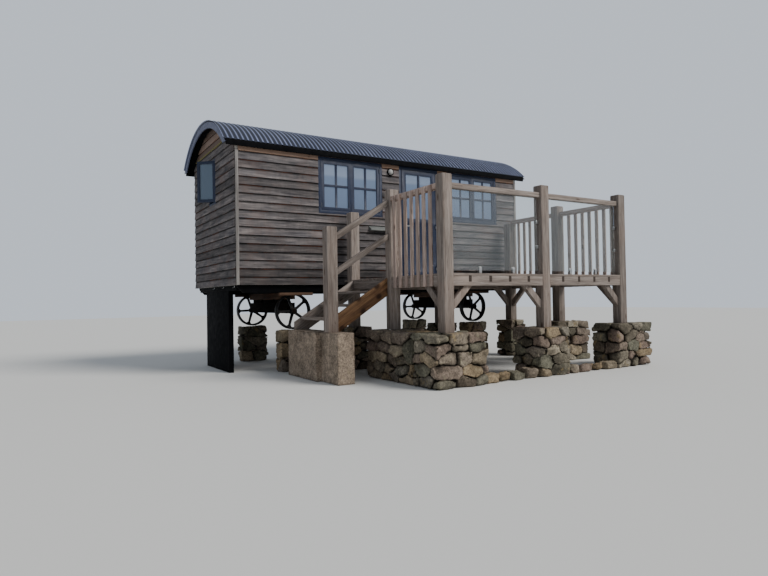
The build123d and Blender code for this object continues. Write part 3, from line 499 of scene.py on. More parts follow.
def ironMaterial():
    material, tree, shader = newMaterial("blackIron", Metallic=0.0, Roughness=0.6, Specular_IOR_Level=0.25)
    point = objectPoint(tree)
    rust = noiseAt(tree, point, 9.0, 6.0, 0.7)
    colour = ramp(tree, rust, [(0.56, (0.006, 0.006, 0.007)), (0.74, (0.035, 0.016, 0.01))])
    tree.links.new(colour, shader.inputs["Base Color"])
    tree.links.new(ramp(tree, rust, [(0.5, 0.45), (0.7, 0.85)]), shader.inputs["Roughness"])
    addBump(tree, shader, noiseAt(tree, point, 90.0, 4.0), 0.25, 0.002)
    return material


def steelMaterial():
    material, tree, shader = newMaterial("brushedSteel", Metallic=1.0, Roughness=0.3)
    brush = noiseAt(tree, stretched(tree, objectPoint(tree), (1.0, 40.0, 40.0)), 12.0)
    tree.links.new(ramp(tree, brush, [(0.3, 0.42), (0.7, 0.62)]), shader.inputs["Base Color"])
    tree.links.new(ramp(tree, brush, [(0.3, 0.22), (0.7, 0.42)]), shader.inputs["Roughness"])
    return material


def paneMaterial(name, colour, clear, rough, paintedReflection=None):
    values = {"Base_Color": (*colour, 1), "Transmission_Weight": clear, "Roughness": rough, "IOR": 1.45}
    material, tree, shader = newMaterial(name, **values)
    if paintedReflection:  # a paler reflection over the top of the pane
        z = addNode(tree, "SeparateXYZ", {0: objectPoint(tree)}).outputs[2]
        wander = maths(tree, "MULTIPLY", noiseAt(tree, objectPoint(tree), 3.0, 2.0), 0.05)
        share = between(tree, maths(tree, "ADD", z, wander), paintedReflection["from"], paintedReflection["to"])
        tree.links.new(ramp(tree, share, paintedReflection["stops"]), shader.inputs["Base Color"])
    addBump(tree, shader, noiseAt(tree, objectPoint(tree), 2.2, 2.0), 0.06, 0.01)
    return material


paneLow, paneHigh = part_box("window_glass")
# the panes' painted reflection: darker below, paler over the top
windowReflection = {
    "from": paneLow.z, "to": paneHigh.z,
    "stops": [
        (0.0, (0.23, 0.31, 0.47)), (0.74, (0.26, 0.35, 0.52)), (0.8, (0.37, 0.46, 0.63)), (1.0, (0.34, 0.43, 0.6)),
    ],
}
roofPaint, castIron, brushedSteel = roofMaterial(), ironMaterial(), steelMaterial()
windowPane = paneMaterial("windowPane", (0.3, 0.38, 0.55), 0.3, 0.06, windowReflection)
# a darker copy of the window glass for the end window: painted shade
shadedEndPane = paneMaterial("shadedEndPane", (0.2, 0.27, 0.36), 0.3, 0.06)
clearPane = paneMaterial("clearPane", (0.93, 0.975, 0.97), 0.97, 0.01)
lampGlass = paneMaterial("lampGlass", (0.6, 0.6, 0.58), 0.3, 0.35)


def stoneMaterial(name, look):
    material, tree, shader = newMaterial(name, Roughness=0.9, Specular_IOR_Level=0.2)
    tint = pieceTint(tree)
    point = shifted(tree, objectPoint(tree), {0: maths(tree, "MULTIPLY", tint, 17.0)})
    cloud = noiseAt(tree, point, 6.0, 6.0, 0.7, 0.4)
    grit = noiseAt(tree, point, 38.0, 6.0, 0.8)
    lichen = noiseAt(tree, point, 11.0, 5.0, 0.75)
    region = maths(tree, "MULTIPLY", noiseAt(tree, point, 1.9, 2.0), lichen)
    colour = ramp(tree, tint, look["stones"])
    colour = shade(tree, colour, cloud, [(0.32, 0.55), (0.5, 0.95), (0.68, 1.35)])
    colour = shade(tree, colour, grit, [(0.36, 0.42), (0.5, 0.93), (0.64, 1.45)])
    colour = tinge(tree, colour, lichen, [(0.56, 0), (0.68, look["lichenShare"])], look["lichen"])
    colour = tinge(tree, colour, region, [(0.33, 0), (0.4, look["goldShare"])], look["gold"])
    # the depth behind the pile's face, kept in an attribute, darkens the colour: painted shade in the joints
    recessShade = addNode(tree, "Attribute", attribute_name="recessShade").outputs["Fac"]
    colour = shade(tree, colour, maths(tree, "MULTIPLY", recessShade, 10.0), [(0.16, 1), (0.42, 0.5), (0.75, 0.16)])
    tree.links.new(colour, shader.inputs["Base Color"])
    addBump(tree, shader, mixColour(tree, 0.5, cloud, grit), 0.9, 0.012)
    return material


rubbleStone = stoneMaterial("rubbleStone", {
    "stones": [
        (0.0, (0.12, 0.095, 0.072)), (0.2, (0.16, 0.155, 0.115)), (0.4, (0.225, 0.19, 0.145)),
        (0.58, (0.225, 0.168, 0.135)), (0.75, (0.19, 0.172, 0.138)), (0.9, (0.29, 0.215, 0.13)),
        (1.0, (0.33, 0.3, 0.24)),
    ],
    "lichen": (0.33, 0.31, 0.2), "lichenShare": 0.5, "gold": (0.34, 0.235, 0.1), "goldShare": 0.55,
})
blockStone = stoneMaterial("blockStone", {
    "stones": [(0.0, (0.26, 0.2, 0.15)), (1.0, (0.33, 0.265, 0.205))], "lichen": (0.3, 0.27, 0.18), "lichenShare": 0.3,
    "gold": (0.3, 0.22, 0.12), "goldShare": 0.2,
})
# the piles' heart, near-black as painted shade deep in the joints
jointShadeCore = stoneMaterial("jointShadeCore", {
    "stones": [(0.0, (0.022, 0.019, 0.015)), (1.0, (0.03, 0.026, 0.02))],
    "lichen": (0.02, 0.02, 0.015), "lichenShare": 0.1, "gold": (0.02, 0.02, 0.015), "goldShare": 0.0,
})
print("materials made")


# CAD nodes dressed with soft edges, grain and a tint for each solid
def islandsOf(mesh):
    parent = list(range(len(mesh.vertices)))

    def root(i):
        while parent[i] != i:
            parent[i] = parent[parent[i]]
            i = parent[i]
        return i

    for edge in mesh.edges:
        a, b = root(edge.vertices[0]), root(edge.vertices[1])
        if a != b:
            parent[a] = b
    groups = {}
    for polygon in mesh.polygons:
        groups.setdefault(root(polygon.vertices[0]), []).append(polygon.index)
    return list(groups.values())


def dressNode(name, nodeNames, materials, slot, width=0.004, body="hut", tints=None):
    piece = joinPieces(name, [mergedCopy(name, nodeName, True, True) for nodeName in nodeNames])
    mesh = piece.data
    wear(piece, *materials)
    tint = mesh.attributes.new("tint", "FLOAT", "FACE")
    for group in islandsOf(mesh):
        low, high = groupBox(mesh, group)
        spans = [high[k] - low[k] for k in range(3)]
        value = rng.random()
        if tints:  # the nearest named spot in plan gives the solid its tint
            centre = [(low[k] + high[k]) / 2 for k in (0, 1)]
            value = min(tints, key=lambda spot: math.dist(spot[:2], centre))[2]
        longest = spans.index(max(spans)) if len(materials) > 2 else 0
        for i in group:
            tint.data[i].value = value
            cutEnd = len(materials) == 4 and abs(mesh.polygons[i].normal[longest]) > 0.9
            mesh.polygons[i].material_index = 3 if cutEnd else longest
    softEdges(piece, width)
    place(piece, slot, *nodeNames, body=body)


slopeX = math.atan2(0.745 / 4, 0.3)
braceSet = [timberMaterial("braceOakX", "X", weatheredOak), oakSet[1], oakSet[2]]
stairRailOak = timberMaterial("stairRailOak", "X", weatheredOak, (0, slopeX, 0))
stringerNew = timberMaterial("stringerNew", "X", newSawn, (0, slopeX, 0))
stringerOak = timberMaterial("stringerOak", "X", weatheredOak, (0, slopeX, 0))
dressings = [
    ("deckBeams", ["cross_beams", "side_beams"], oakSet, "deck_timber", 0.004),
    ("deckJoists", ["deck_joists"], oakSet[:3] + [joistEnd], "deck_timber", 0.002),
    ("kneeBraces", ["knee_braces"], braceSet, "deck_timber", 0.004),
    ("stairNewel", ["stair_newel"], oakSet, "deck_timber", 0.006),
    ("stairRails", ["stair_rails"], [stairRailOak], "deck_timber", 0.005),
    ("stairTreads", ["stair_treads"], oakSet, "deck_timber", 0.004),
    ("nearStringer", ["near_stringer"], [stringerNew], "new_timber", 0.004),
    ("farStringer", ["far_stringer"], [stringerOak], "deck_timber", 0.004),
    ("windowFrames", ["window_frames"], [slatePaint], "slate_paint", 0.003),
    ("windowSashes", ["window_sashes"], [slatePaint], "slate_paint", 0.003),
    ("endWindowFrames", ["end_window_frames"], [slatePaint], "slate_paint", 0.003),
    ("endWindowSashes", ["end_window_sashes"], [slatePaint], "slate_paint", 0.003),
    ("doorFrame", ["door_frame"], [slatePaint], "slate_paint", 0.003),
    ("ventHood", ["vent_hood"], [hoodPaint], "slate_paint", 0.003),
    ("chassisBeams", ["chassis_side_beams"], [shadedBlackPaint], "black_steel", 0.005),
    ("crossMembers", ["chassis_cross_members"], [shadedBlackPaint], "black_steel", 0.003),
    ("endStand", ["end_stand"], [shadedBlackPaint], "black_steel", 0.004),
    ("bolsterTimbers", ["bolsters", "packer_boards"], oldSet, "old_timber", 0.004),
    ("glassClamps", ["glass_clamps"], [brushedSteel], "steel_fittings", 0.005),
]
for name, nodeNames, materials, slot, width in dressings:
    dressNode(name, nodeNames, materials, slot, width)
postTints = [
    (-0.97, -2.4, 0.5), (-0.97, -0.9, 1.0), (1.1, -2.4, 0.45), (2.8, -2.4, 0.0), (1.1, -0.4, 0.6), (2.8, -0.4, 0.3),
]
dressNode("deckPosts", ["deck_posts"], oakSet, "deck_timber", 0.006, tints=postTints)
dressNode("topRails", ["front_top_rails"], oakSet, "deck_timber", 0.005, tints=[(0.0, 0.0, 1.0)])
dressNode("doorLeaf", ["door_leaf"], [slatePaint], "slate_paint", 0.002, "door")
dressNode("axleBeams", ["left_axle", "right_axle"], [shadedBeamIron], "black_steel", 0.004)
for wheel in ("front_left", "front_right", "rear_left", "rear_right"):
    dressNode(f"castWheel.{wheel}", [f"{wheel}_wheel"], [castIron], "wheel_iron", 0.005, f"{wheel}_wheel_body")

picketPanel = {
    "width": 0.062, "thickness": 0.022, "pitch": 0.142, "railDepth": 0.07, "belowRail": 0.012, "drift": 0.002,
}


def picketPanels():
    for side, facing in (("left", -1), ("right_front", 1), ("right_rear", 1)):
        low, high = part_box(f"{side}_picket_panel")
        outer, inner = (low.x, high.x) if facing < 0 else (high.x, low.x)
        back = outer - facing * picketPanel["thickness"]
        railLeft, railRight = sorted((back, inner))
        rail = block("rail", (railLeft, low.y, high.z - picketPanel["railDepth"]), (railRight, high.y, high.z))
        pieces = [wear(setTint(softEdges(rail, 0.004)), picketSet[1])]
        count = int((high.y - low.y) / picketPanel["pitch"] + 0.001)
        first = (low.y + high.y - (count - 1) * picketPanel["pitch"]) / 2
        left, right = sorted((outer, back))
        half, top = picketPanel["width"] / 2, high.z - picketPanel["belowRail"]
        for i in range(count):
            y = first + i * picketPanel["pitch"] + rng.uniform(-1, 1) * picketPanel["drift"]
            picket = block("picket", (left, y - half, low.z), (right, y + half, top))
            pieces.append(wear(setTint(softEdges(picket, 0.003, 1)), picketSet[2]))
        place(joinPieces(f"pickets.{side}", pieces), "deck_timber", f"{side}_picket_panel")


picketPanels()

plainFinishes = {
    "floor": floorPaint, "window_glass": windowPane, "end_window_glass": shadedEndPane, "door_glass": windowPane,
    "balustrade_glass": clearPane, "door_hinges": brushedSteel, "door_handle": brushedSteel,
}
for nodeName, material in plainFinishes.items():
    wear(nodes[nodeName], material)
walls = ("front_wall_left", "front_wall_right", "front_wall_over_door", "rear_wall", "left_end_wall", "right_end_wall")
for nodeName in walls:
    wear(nodes[nodeName], liningPaint)
print("CAD nodes dressed")


# cladding: feather-edged boards, lapped, cut round the openings and under the roof
hutWall = {"springing": 2.12, "top": 2.14, "archFrom": 2.0, "underSheets": 0.0585, "corner": 0.046}
roofReach = (roofHigh.y - roofLow.y) / 2
roofRise = roofHigh.z - (hutBase + hutWall["springing"])
sheetRadius = (roofReach**2 + roofRise**2) / (2 * roofRise)
roofCentre = roofHigh.z - sheetRadius
wallRadius = sheetRadius - hutWall["underSheets"]


def featherBoard(length, bottom, height):
    # one board along X from the origin, its face towards -Y, extruded a step at a time with a slight wave
    top, back, lip = bottom + height, cladding["back"], -cladding["lip"]
    board = quad([(0, back, bottom), (0, lip, bottom), (0, back, top), (0, -cladding["top"], top)])
    steps = max(1, round(length / cladding["step"]))
    openMesh(board)
    drift = 0.0
    for i in range(steps):
        target = sway(cladding["wave"]) if i < steps - 1 else 0.0
        bpy.ops.mesh.extrude_region_move(TRANSFORM_OT_translate={"value": (length / steps, 0, target - drift)})
        drift = target
    closeMesh()
    normalsOut(board)
    return board


def cladWall(name, length, corner, turn, top, openings, material, arched=False):
    holes = [block("hole", low, high) for low, high in openings]
    arches = [drum("arch", (corner[0], middleY, roofCentre), wallRadius, 1.0, "X", 128)] if arched else []
    boards = []
    bottom = hutBase
    while bottom < top - 0.01:
        height = min(cladding["exposure"] + cladding["lap"], top - bottom)
        board = featherBoard(length, bottom, height)
        board.location = corner
        board.rotation_euler = (0, 0, turn)
        settle(board)
        for (low, high), hole in zip(openings, holes):
            if low[2] < bottom + height and high[2] > bottom:
                cutWith(board, hole)
        if arched and bottom + height > hutBase + hutWall["archFrom"]:
            cutWith(board, arches[0], "INTERSECT")
        if board.data.polygons:
            boards.append(board)
        bottom += cladding["exposure"]
    for tool in holes + arches:
        drop(tool)
    place(wear(joinPieces(name, boards), material), "cladding")


def solidBoxes(nodeName):
    probe = mergedCopy("probe", nodeName)
    boxes = [groupBox(probe.data, group) for group in islandsOf(probe.data)]
    drop(probe)
    return boxes


def roomy(boxes, grow):
    return [(low - Vector(grow), high + Vector(grow)) for low, high in boxes]


frameBoxes = solidBoxes("window_frames")
frontOpenings = roomy([b for b in frameBoxes if b[0].y < middleY] + [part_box("door_frame")], (0, 0.1, 0))
rearOpenings = roomy([b for b in frameBoxes if b[0].y > middleY], (0, 0.1, 0))
endBoxes = solidBoxes("end_window_frames")
leftOpenings = roomy([b for b in endBoxes if b[0].x < 0], (0.1, 0, 0))
rightOpenings = roomy([b for b in endBoxes if b[0].x > 0], (0.1, 0, 0))
cornerWidth, wallTop, gableTop = hutWall["corner"], hutBase + hutWall["top"], roofCentre + wallRadius
longLength, endLength = hutRight - hutLeft - 2 * cornerWidth, rearFace - frontFace
for wall in (
    ("frontCladding", longLength, (hutLeft + cornerWidth, frontFace, 0), 0.0, wallTop, frontOpenings, claddingX),
    ("rearCladding", longLength, (hutRight - cornerWidth, rearFace, 0), math.pi, wallTop, rearOpenings, claddingX),
    ("leftCladding", endLength, (hutLeft, rearFace, 0), -math.pi / 2, gableTop, leftOpenings, claddingY, True),
    ("rightCladding", endLength, (hutRight, frontFace, 0), math.pi / 2, gableTop, rightOpenings, claddingY, True),
):
    cladWall(*wall)


def cornerPosts():
    posts = []
    for low, high in solidBoxes("corner_boards"):
        xs = (low.x, low.x + cornerWidth) if low.x < 0 else (high.x - cornerWidth, high.x)
        post = block("post", (xs[0], low.y, low.z), (xs[1], high.y, high.z))
        posts.append(wear(setTint(softEdges(post, 0.003)), cornerSet[2]))
    place(joinPieces("cornerPosts", posts), "trim_timber", "corner_boards")


cornerPosts()
print("cladding laid")


# roof sheets, corrugated and curved over the hut
def corrugatedRoof():
    half = math.asin(roofReach / sheetRadius) - roofSheet["eaveTrim"] / sheetRadius
    columns = sheetWaves * roofSheet["stepsPerWave"]
    deselectAll()
    bpy.ops.mesh.primitive_grid_add(x_subdivisions=columns, y_subdivisions=roofSheet["stepsAcross"], size=1)
    sheet = bpy.context.object
    middle = sheetRadius - roofSheet["depth"] / 2 - roofSheet["thickness"] / 2 - 0.0004
    for vertex in sheet.data.vertices:
        along, angle = vertex.co.x + 0.5, vertex.co.y * 2 * half
        radius = middle + roofSheet["depth"] / 2 * math.cos(along * sheetWaves * 2 * math.pi)
        x = sheetLeft + along * (sheetRight - sheetLeft)
        vertex.co = (x, middleY + radius * math.sin(angle), roofCentre + radius * math.cos(angle))
    normalsOut(sheet)
    finishModifier(sheet, "SOLIDIFY", thickness=roofSheet["thickness"], offset=0.0)
    for vertex in sheet.data.vertices:
        vertex.co.x = min(max(vertex.co.x, sheetLeft), sheetRight)
    smoothBelow(sheet, 50)
    sheet.name = sheet.data.name = "corrugatedRoof"
    place(wear(sheet, roofPaint), "roof_metal", "roof_sheets")


corrugatedRoof()


# barge boards: a segment of the arch cut off level at the eaves, set back under the sheets' ends
barge = {"overhang": 0.02, "thickness": 0.022, "outer": 0.0228, "width": 0.1, "foot": 0.04, "steps": 48}
bargeFaces = (sheetLeft + barge["overhang"], sheetRight - barge["overhang"])
bargeBacks = (bargeFaces[0] + barge["thickness"], bargeFaces[1] - barge["thickness"])


def bargeBoards():
    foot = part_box("eaves_fascias")[0].z + barge["foot"]
    outer = sheetRadius - barge["outer"]
    half = math.acos((foot - roofCentre) / outer)
    edge = [(middleY - r * math.sin(half), roofCentre + r * math.cos(half)) for r in (outer - barge["width"], outer)]
    boards = []
    for face, back in zip(bargeFaces, bargeBacks):
        board = quad([(x, *spot) for spot in edge for x in sorted((face, back))])
        openMesh(board)
        centre = (face, middleY, roofCentre)
        bpy.ops.mesh.spin(steps=barge["steps"], angle=2 * half, center=centre, axis=(1, 0, 0), dupli=False)
        bpy.ops.mesh.select_all(action="SELECT")
        bpy.ops.mesh.remove_doubles(threshold=0.00005)
        cutAway((0, 0, foot), (0, 0, -1))
        closeMesh()
        normalsOut(board)
        boards.append(softEdges(board, 0.003))
    piece = wear(joinPieces("bargeBoards", boards), bargeHighlightPaint, shadedBlackPaint)
    for polygon in piece.data.polygons:
        normal, centre = polygon.normal, polygon.center
        outward = normal.y * (centre.y - middleY) + normal.z * (centre.z - roofCentre)
        polygon.material_index = 1 if outward > 0.5 and abs(normal.x) < 0.5 else 0
    place(piece, "slate_paint", "barge_boards")


bargeBoards()


def roofBoards():
    piece = mergedCopy("roofBoards", "roof_boards")
    for vertex in piece.data.vertices:
        vertex.co.x = min(max(vertex.co.x, bargeBacks[0]), bargeBacks[1])
    smoothBelow(piece, 30)
    place(wear(piece, shadedBlackPaint), "roof_timber", "roof_boards")


roofBoards()

fascia = {"rise": 0.029, "inset": 0.014, "thickness": 0.022}


def eavesFascias():
    low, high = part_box("eaves_fascias")
    boards = []
    for y, inward in ((low.y + fascia["inset"], 1), (high.y - fascia["inset"], -1)):
        near, far = sorted((y, y + inward * fascia["thickness"]))
        board = block("fascia", (bargeBacks[0], near, low.z), (bargeBacks[1], far, high.z + fascia["rise"]))
        boards.append(softEdges(board, 0.003))
    place(wear(joinPieces("eavesFascias", boards), shadedBlackPaint), "black_steel", "eaves_fascias")


eavesFascias()
print("roof sheeted")


# deck boards with gaps, cut round the posts
decking = {"width": 0.142, "gap": 0.006, "clear": 0.001}


def deckBoards():
    postBoxes = roomy(solidBoxes("deck_posts"), [decking["clear"]] * 3)
    posts = [block("postHole", low, high) for low, high in postBoxes if high.z > deckHigh.z]
    y, boards = deckLow.y, []
    while y < deckHigh.y - 0.02:
        far = min(y + decking["width"], deckHigh.y)
        board = block("deckBoard", (deckLow.x, y, deckLow.z), (deckHigh.x, far, deckHigh.z))
        for hole in posts:
            low, high = hole.bound_box[0][1], hole.bound_box[6][1]
            if low < far and high > y:
                cutWith(board, hole)
        boards.append(setTint(softEdges(board, 0.002, 1)))
        y = far + decking["gap"]
    for hole in posts:
        drop(hole)
    place(wear(joinPieces("deckingBoards", boards), oakSet[0]), "deck_timber", "deck_boards")


deckBoards()
print("deck laid")


# dry-stone work: each stone is a block cut back from its neighbours, then rounded and roughened
stonework = {
    "course": 0.135, "length": 0.28, "depth": 0.12, "joint": 0.006, "round": 0.036, "rough": 0.022, "grain": 0.013,
    "flatten": 2.5, "tilt": 0.2, "setBack": 0.026, "levels": 2, "soften": 2, "neighbours": 18, "least": 0.05,
    "merge": 0.012, "seat": 0.24, "insetShare": 3.2, "wander": 0.28, "jitter": 0.03,
}


def stoneSeeds(low, high, look):
    seeds = []
    courses = max(2, round((high.z - low.z) / look["course"]))
    heights = [rng.uniform(0.75, 1.25) for _ in range(courses)]
    inset = Vector([min(look["depth"], (high[k] - low[k]) / look["insetShare"]) for k in (0, 1)])
    left, front, right, back = low.x + inset.x, low.y + inset.y, high.x - inset.x, high.y - inset.y
    corners = [(left, front), (right, front), (right, back), (left, back)]
    sides = [math.dist(corners[i], corners[(i + 1) % 4]) for i in range(4)]
    around = sum(sides)
    z = low.z
    for share in heights:
        rise = (high.z - low.z) * share / sum(heights)
        count = max(4, round(around / (look["length"] * rng.uniform(0.8, 1.2))))
        start = rng.random() * around
        for i in range(count):
            walk = (start + around * (i + sway(look["wander"])) / count) % around
            side = 0
            while walk > sides[side]:
                walk -= sides[side]
                side += 1
            a, b = Vector(corners[side]), Vector(corners[(side + 1) % 4])
            spot = a.lerp(b, walk / sides[side]) + Vector((sway(look["jitter"]), sway(look["jitter"])))
            seeds.append(Vector((*spot, z + rise * (0.5 + sway(0.3)))))
        z += rise
    return seeds


def cutIfCrossed(stone, origin, normal):
    stone.update_from_editmode()
    if any((vertex.co - origin).dot(normal) > 0.0005 for vertex in stone.data.vertices):
        bpy.ops.mesh.select_all(action="SELECT")
        cutAway(origin, normal)


def oneStone(seed, seeds, low, high, look, seatTop):
    # a block cut back from its neighbours, then its outer faces tilted, its edges rounded and its skin roughened
    stone = block("stone", low, high)
    near = sorted((s for s in seeds if s is not seed), key=lambda s: (s - seed).length)[:look["neighbours"]]
    openMesh(stone)
    for other in near:
        gap = other - seed
        normal = Vector((gap.x, gap.y, gap.z * look["flatten"])).normalized()
        cutIfCrossed(stone, (seed + other) / 2 - normal * look["joint"] / 2, normal)
    for axis, sign in ((0, -1), (0, 1), (1, -1), (1, 1), (2, 1)):
        if axis == 2 and seatTop:
            continue
        face = Vector(seed)
        face[axis] = (low if sign < 0 else high)[axis] - sign * rng.uniform(0.0, look["setBack"])
        normal = Vector([sway(look["tilt"]) for _ in range(3)])
        normal[axis] = sign
        cutIfCrossed(stone, face, normal.normalized())
    closeMesh()
    points = [vertex.co for vertex in stone.data.vertices]
    if len(points) < 6 or min(b - a for a, b in zip(*cornersOf(points))) < look["least"]:
        drop(stone)
        return None
    openMesh(stone)
    bpy.ops.mesh.remove_doubles(threshold=look["merge"])
    bpy.ops.mesh.normals_make_consistent(inside=False)
    closeMesh()
    bevel(stone, look["round"] * rng.uniform(0.8, 1.25), 1, 15)
    finishModifier(stone, "SUBSURF", levels=look["levels"], render_levels=look["levels"])
    openMesh(stone)
    bpy.ops.mesh.vertices_smooth(factor=0.5, repeat=look["soften"])
    closeMesh()
    shift = Vector((rng.uniform(0, 50), 0, 0))
    for vertex in stone.data.vertices:
        push = noise.fractal(vertex.co * 7 + shift, 1.0, 2.0, 3) * look["rough"]
        push += noise.fractal(vertex.co * 26 + shift, 1.0, 2.0, 3) * look["grain"]
        moved = vertex.co + vertex.normal * push
        if seatTop and vertex.co.z > high.z - 0.012:
            moved.z = high.z
        vertex.co = [min(max(moved[k], low[k] + 0.0005), high[k] - 0.0005) for k in range(3)]
    setTint(stone)
    # the depth behind the pile's face, which the stone material turns into painted shade in the joints
    recessShade = stone.data.attributes.new("recessShade", "FLOAT", "POINT")
    for vertex in stone.data.vertices:
        sides = [abs(edge[k] - vertex.co[k]) for edge in (low, high) for k in (0, 1)] + [high.z - vertex.co.z]
        recessShade.data[vertex.index].value = min(sides)
    makeActive(stone)
    bpy.ops.object.shade_smooth()
    return stone


def stackStones(low, high, look, postSpots=()):
    seeds = stoneSeeds(low, high, look)
    stones = []
    for seed in seeds:
        seat = any(abs(seed.x - x) < look["seat"] and abs(seed.y - y) < look["seat"] for x, y in postSpots)
        stone = oneStone(seed, seeds, low, high, look, seat)
        if stone:
            stones.append(wear(stone, rubbleStone))
    return stones


def stoneGroup(name, nodeName, boxes, look, postSpots=(), margin=0.075):
    stones, hearts = [], []
    for low, high in boxes:
        low, high = Vector(low), Vector(high)
        stones += stackStones(low, high, look, postSpots)
        # each pile's heart, coloured near-black as painted shade deep in the joints
        heart = block("heart", low + Vector((margin, margin, 0)), high - Vector((margin, margin, margin)))
        hearts.append(wear(setTint(heart, 0.5), jointShadeCore))
    place(joinPieces(name, stones + hearts), "stone", nodeName)


postSpots = [((low.x + high.x) / 2, (low.y + high.y) / 2) for low, high in solidBoxes("deck_posts")]
stoneLow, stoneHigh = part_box("front_left_stone_wall")
armRight, returnBack = stoneLow.x + 0.55, stoneLow.y + 0.53
frontLeft = [
    (stoneLow, (stoneHigh.x, returnBack, stoneHigh.z)),
    ((stoneLow.x, returnBack, 0), (armRight, stoneHigh.y, stoneHigh.z)),
]
stoneGroup("frontLeftStones", "front_left_stone_wall", frontLeft, stonework, postSpots)
for name, nodeName in (("squarePierStones", "square_stone_piers"), ("rearPierStones", "rear_stone_piers")):
    stoneGroup(name, nodeName, solidBoxes(nodeName), stonework, postSpots)
plinthWork = dict(stonework, length=0.3, course=0.2)
stoneGroup("plinthStones", "wheel_plinths", solidBoxes("wheel_plinths"), plinthWork, margin=0.06)

kerb = {"length": 0.26, "wander": 0.16, "joint": 0.003, "setBack": 0.02, "dip": 0.035}
kerbWork = dict(stonework, round=0.045, rough=0.014)


def kerbRow():
    stones = []
    for low, high in solidBoxes("kerb_stones"):
        span = high.x - low.x
        count = round(span / kerb["length"])
        edges = [low.x + span * (i + (sway(kerb["wander"]) if 0 < i < count else 0)) / count for i in range(count + 1)]
        for left, right in zip(edges, edges[1:]):
            seed = Vector(((left + right) / 2, (low.y + high.y) / 2, high.z / 2))
            near = Vector((left + kerb["joint"], low.y + rng.uniform(0, kerb["setBack"]), 0))
            far = Vector((right - kerb["joint"], high.y, high.z - rng.uniform(0, kerb["dip"])))
            stones.append(oneStone(seed, [seed], near, far, kerbWork, False))
    stones = [wear(stone, rubbleStone) for stone in stones if stone]
    place(joinPieces("kerbStones", stones), "stone", "kerb_stones")


kerbRow()

footBlock = {"round": 0.014, "worn": 0.008, "flatTop": 0.003}


def footBlocks():
    piece = mergedCopy("stairFootBlocks", "stair_foot_stones", flatten=True)
    bevel(piece, footBlock["round"], 2, 30)
    finishModifier(piece, "TRIANGULATE")
    finishModifier(piece, "SUBSURF", levels=3, render_levels=3, subdivision_type="SIMPLE")
    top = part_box("stair_foot_stones")[1].z
    for vertex in piece.data.vertices:
        depth = abs(noise.fractal(vertex.co * 6, 1.0, 2.0, 4)) * footBlock["worn"]
        moved = vertex.co - vertex.normal * depth
        if vertex.co.z < top - footBlock["flatTop"]:
            vertex.co = (moved.x, moved.y, max(moved.z, 0.0))
    smoothBelow(setTint(piece, 0.6), 45)
    place(wear(piece, blockStone), "stone", "stair_foot_stones")


footBlocks()
print("stones laid")


# lamp beside the door
lamp = {"rings": 40, "depth": 0.044, "rim": 0.012, "sink": 0.006, "dome": 0.048, "domeIn": 0.036, "domeFlat": 0.7}


def wallLamp():
    low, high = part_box("wall_lamp")
    centre = (low + high) / 2
    spot = (centre.x, high.y - lamp["depth"] / 2, centre.z)
    base = drum("lampBase", spot, (high.x - low.x) / 2, lamp["depth"], "Y", lamp["rings"])
    openMesh(base)
    bpy.ops.mesh.select_all(action="DESELECT")
    closeMesh()
    for polygon in base.data.polygons:
        polygon.select = polygon.normal.y < -0.9
    makeActive(base)
    bpy.ops.object.mode_set(mode="EDIT")
    bpy.ops.mesh.inset(thickness=lamp["rim"])
    bpy.ops.transform.translate(value=(0, lamp["sink"], 0))
    closeMesh()
    wear(softEdges(base, 0.003), shadedBlackPaint)
    deselectAll()
    spot = (centre.x, high.y - lamp["domeIn"], centre.z)
    bpy.ops.mesh.primitive_uv_sphere_add(segments=32, ring_count=16, radius=lamp["dome"], location=spot)
    dome = bpy.context.object
    dome.scale = (1, lamp["domeFlat"], 1)
    settle(dome)
    bpy.ops.object.shade_smooth()
    wear(dome, lampGlass)
    place(joinPieces("roundLamp", [base, dome]), "black_steel", "wall_lamp")


wallLamp()


# slim casement hinges, painted with the frames, their knuckles painted paler as a painted highlight
hinge = {"inset": 0.0525, "knuckle": 0.006, "length": 0.078, "leaf": 0.011, "proud": 0.0015, "heights": (0.14, 0.86)}


def casementHinges():
    knuckles, leaves = [], []
    half, across, deep = hinge["length"] / 2, hinge["leaf"], hinge["proud"]
    for low, high in frameBoxes:
        outer = low.y - 0.001 if low.y < middleY else high.y + 0.001
        for x in (low.x + hinge["inset"], high.x - hinge["inset"]):
            for share in hinge["heights"]:
                z = low.z + (high.z - low.z) * share
                for k in (-1, 0, 1):
                    spot = (x, outer, z + k * half * 0.68)
                    knuckles.append(wear(drum("knuckle", spot, hinge["knuckle"], half * 0.64, "Z", 12), knuckleHighlightPaint))
                corners = [(x + k * across, outer + k * deep, z + k * (half * 0.9)) for k in (-1, 1)]
                leaves.append(wear(block("leaf", *corners), slatePaint))
    place(softEdges(joinPieces("casementHinges", knuckles + leaves), 0.0008, 1), "slate_paint")


casementHinges()


# three small hooks on the beam under the left end
hook = {"along": (1.498, 0.972, 0.404), "drop": 0.022, "rise": 0.017, "wire": 0.0035, "plate": 0.011}


def beamHooks():
    beamLow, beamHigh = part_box("chassis_cross_members")
    hooks = []
    for y in hook["along"]:
        z = beamHigh.z - hook["drop"]
        deselectAll()
        bpy.ops.mesh.primitive_torus_add(
            major_radius=hook["rise"], minor_radius=hook["wire"], major_segments=20, minor_segments=8,
            location=(beamLow.x - hook["rise"] * 0.9, y, z), rotation=(math.pi / 2, 0, math.radians(25)),
        )
        ring = settle(bpy.context.object)
        openMesh(ring)
        cutAway((beamLow.x - hook["rise"], y, z + 0.004), (-0.7, 0, 0.7))
        closeMesh()
        hooks += [ring, drum("hookPlate", (beamLow.x - 0.002, y, z), hook["plate"], 0.004, "X", 16)]
    piece = softEdges(joinPieces("beamHooks", hooks), 0.0008, 1, 50)
    place(wear(piece, brushedSteel), "steel_fittings")


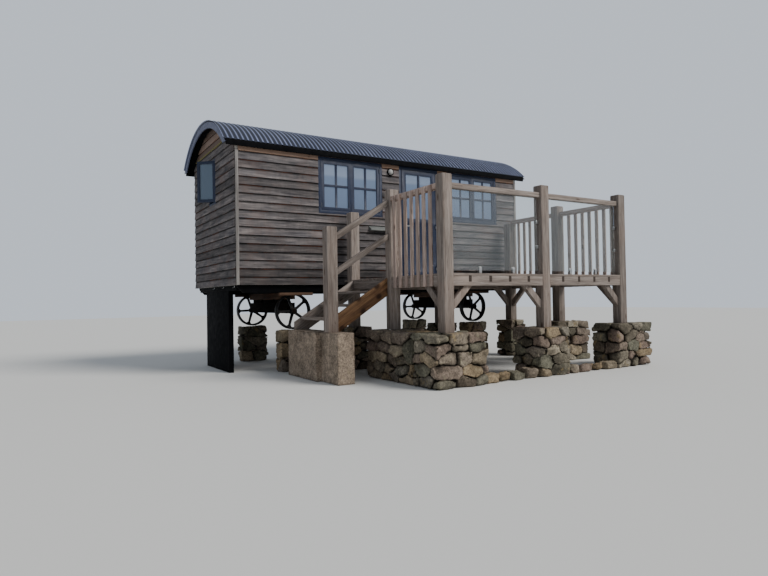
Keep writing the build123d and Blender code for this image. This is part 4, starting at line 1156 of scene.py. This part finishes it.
beamHooks()
print("small fittings made")


# floor, light and camera
studio = {
    "floor": (0.74, 0.74, 0.72), "sky": (0.78, 0.85, 0.95), "skyStrength": 0.46, "backdrop": 0.85,
    "sun": 2.75, "sunAngle": 25, "sunColour": (1.0, 0.965, 0.91), "sunTurn": (48, 8, 28),
}


def studioSet():
    deselectAll()
    bpy.ops.mesh.primitive_plane_add(size=80, location=(0, 0, -0.002))
    floor = bpy.context.object
    floor.name = "studioFloor"
    material, tree, shader = newMaterial("studioFloor", Base_Color=(*studio["floor"], 1), Roughness=0.9)
    floor.data.materials.append(material)
    world = bpy.data.worlds.new("studioSky")
    world.use_nodes = True
    sky = world.node_tree
    background = sky.nodes["Background"]
    background.inputs["Color"].default_value = (*studio["sky"], 1)
    path = addNode(sky, "LightPath")  # the backdrop may look paler than the light it gives
    seen = maths(sky, "MAXIMUM", path.outputs["Is Camera Ray"], path.outputs["Is Transmission Ray"])
    extra = maths(sky, "MULTIPLY", seen, studio["backdrop"] - studio["skyStrength"])
    sky.links.new(maths(sky, "ADD", extra, studio["skyStrength"]), background.inputs["Strength"])
    bpy.context.scene.world = world
    sun = bpy.data.lights.new("softSun", "SUN")
    sun.energy = studio["sun"]
    sun.angle = math.radians(studio["sunAngle"])
    sun.color = studio["sunColour"]
    softSun = bpy.data.objects.new("softSun", sun)
    softSun.rotation_euler = [math.radians(v) for v in studio["sunTurn"]]
    bpy.context.collection.objects.link(softSun)


studioSet()

view = {
    "place": (-5.4143, -8.175, 1.106), "right": (0.85124, -0.52451, -0.01702),
    "up": (0.00461, -0.02496, 0.99967), "forward": (0.52476, 0.85104, 0.01883), "lens": 27.09,
}
cameraData = bpy.data.cameras.new("photoCamera")
cameraData.lens = view["lens"]
cameraData.sensor_width = 36.0
cameraData.clip_end = 200.0
camera = bpy.data.objects.new("photoCamera", cameraData)
bpy.context.collection.objects.link(camera)
turn = Matrix((view["right"], view["up"], [-v for v in view["forward"]])).transposed()
camera.matrix_world = Matrix.Translation(view["place"]) @ turn.to_4x4()
bpy.context.scene.camera = camera
print("studio and camera set")
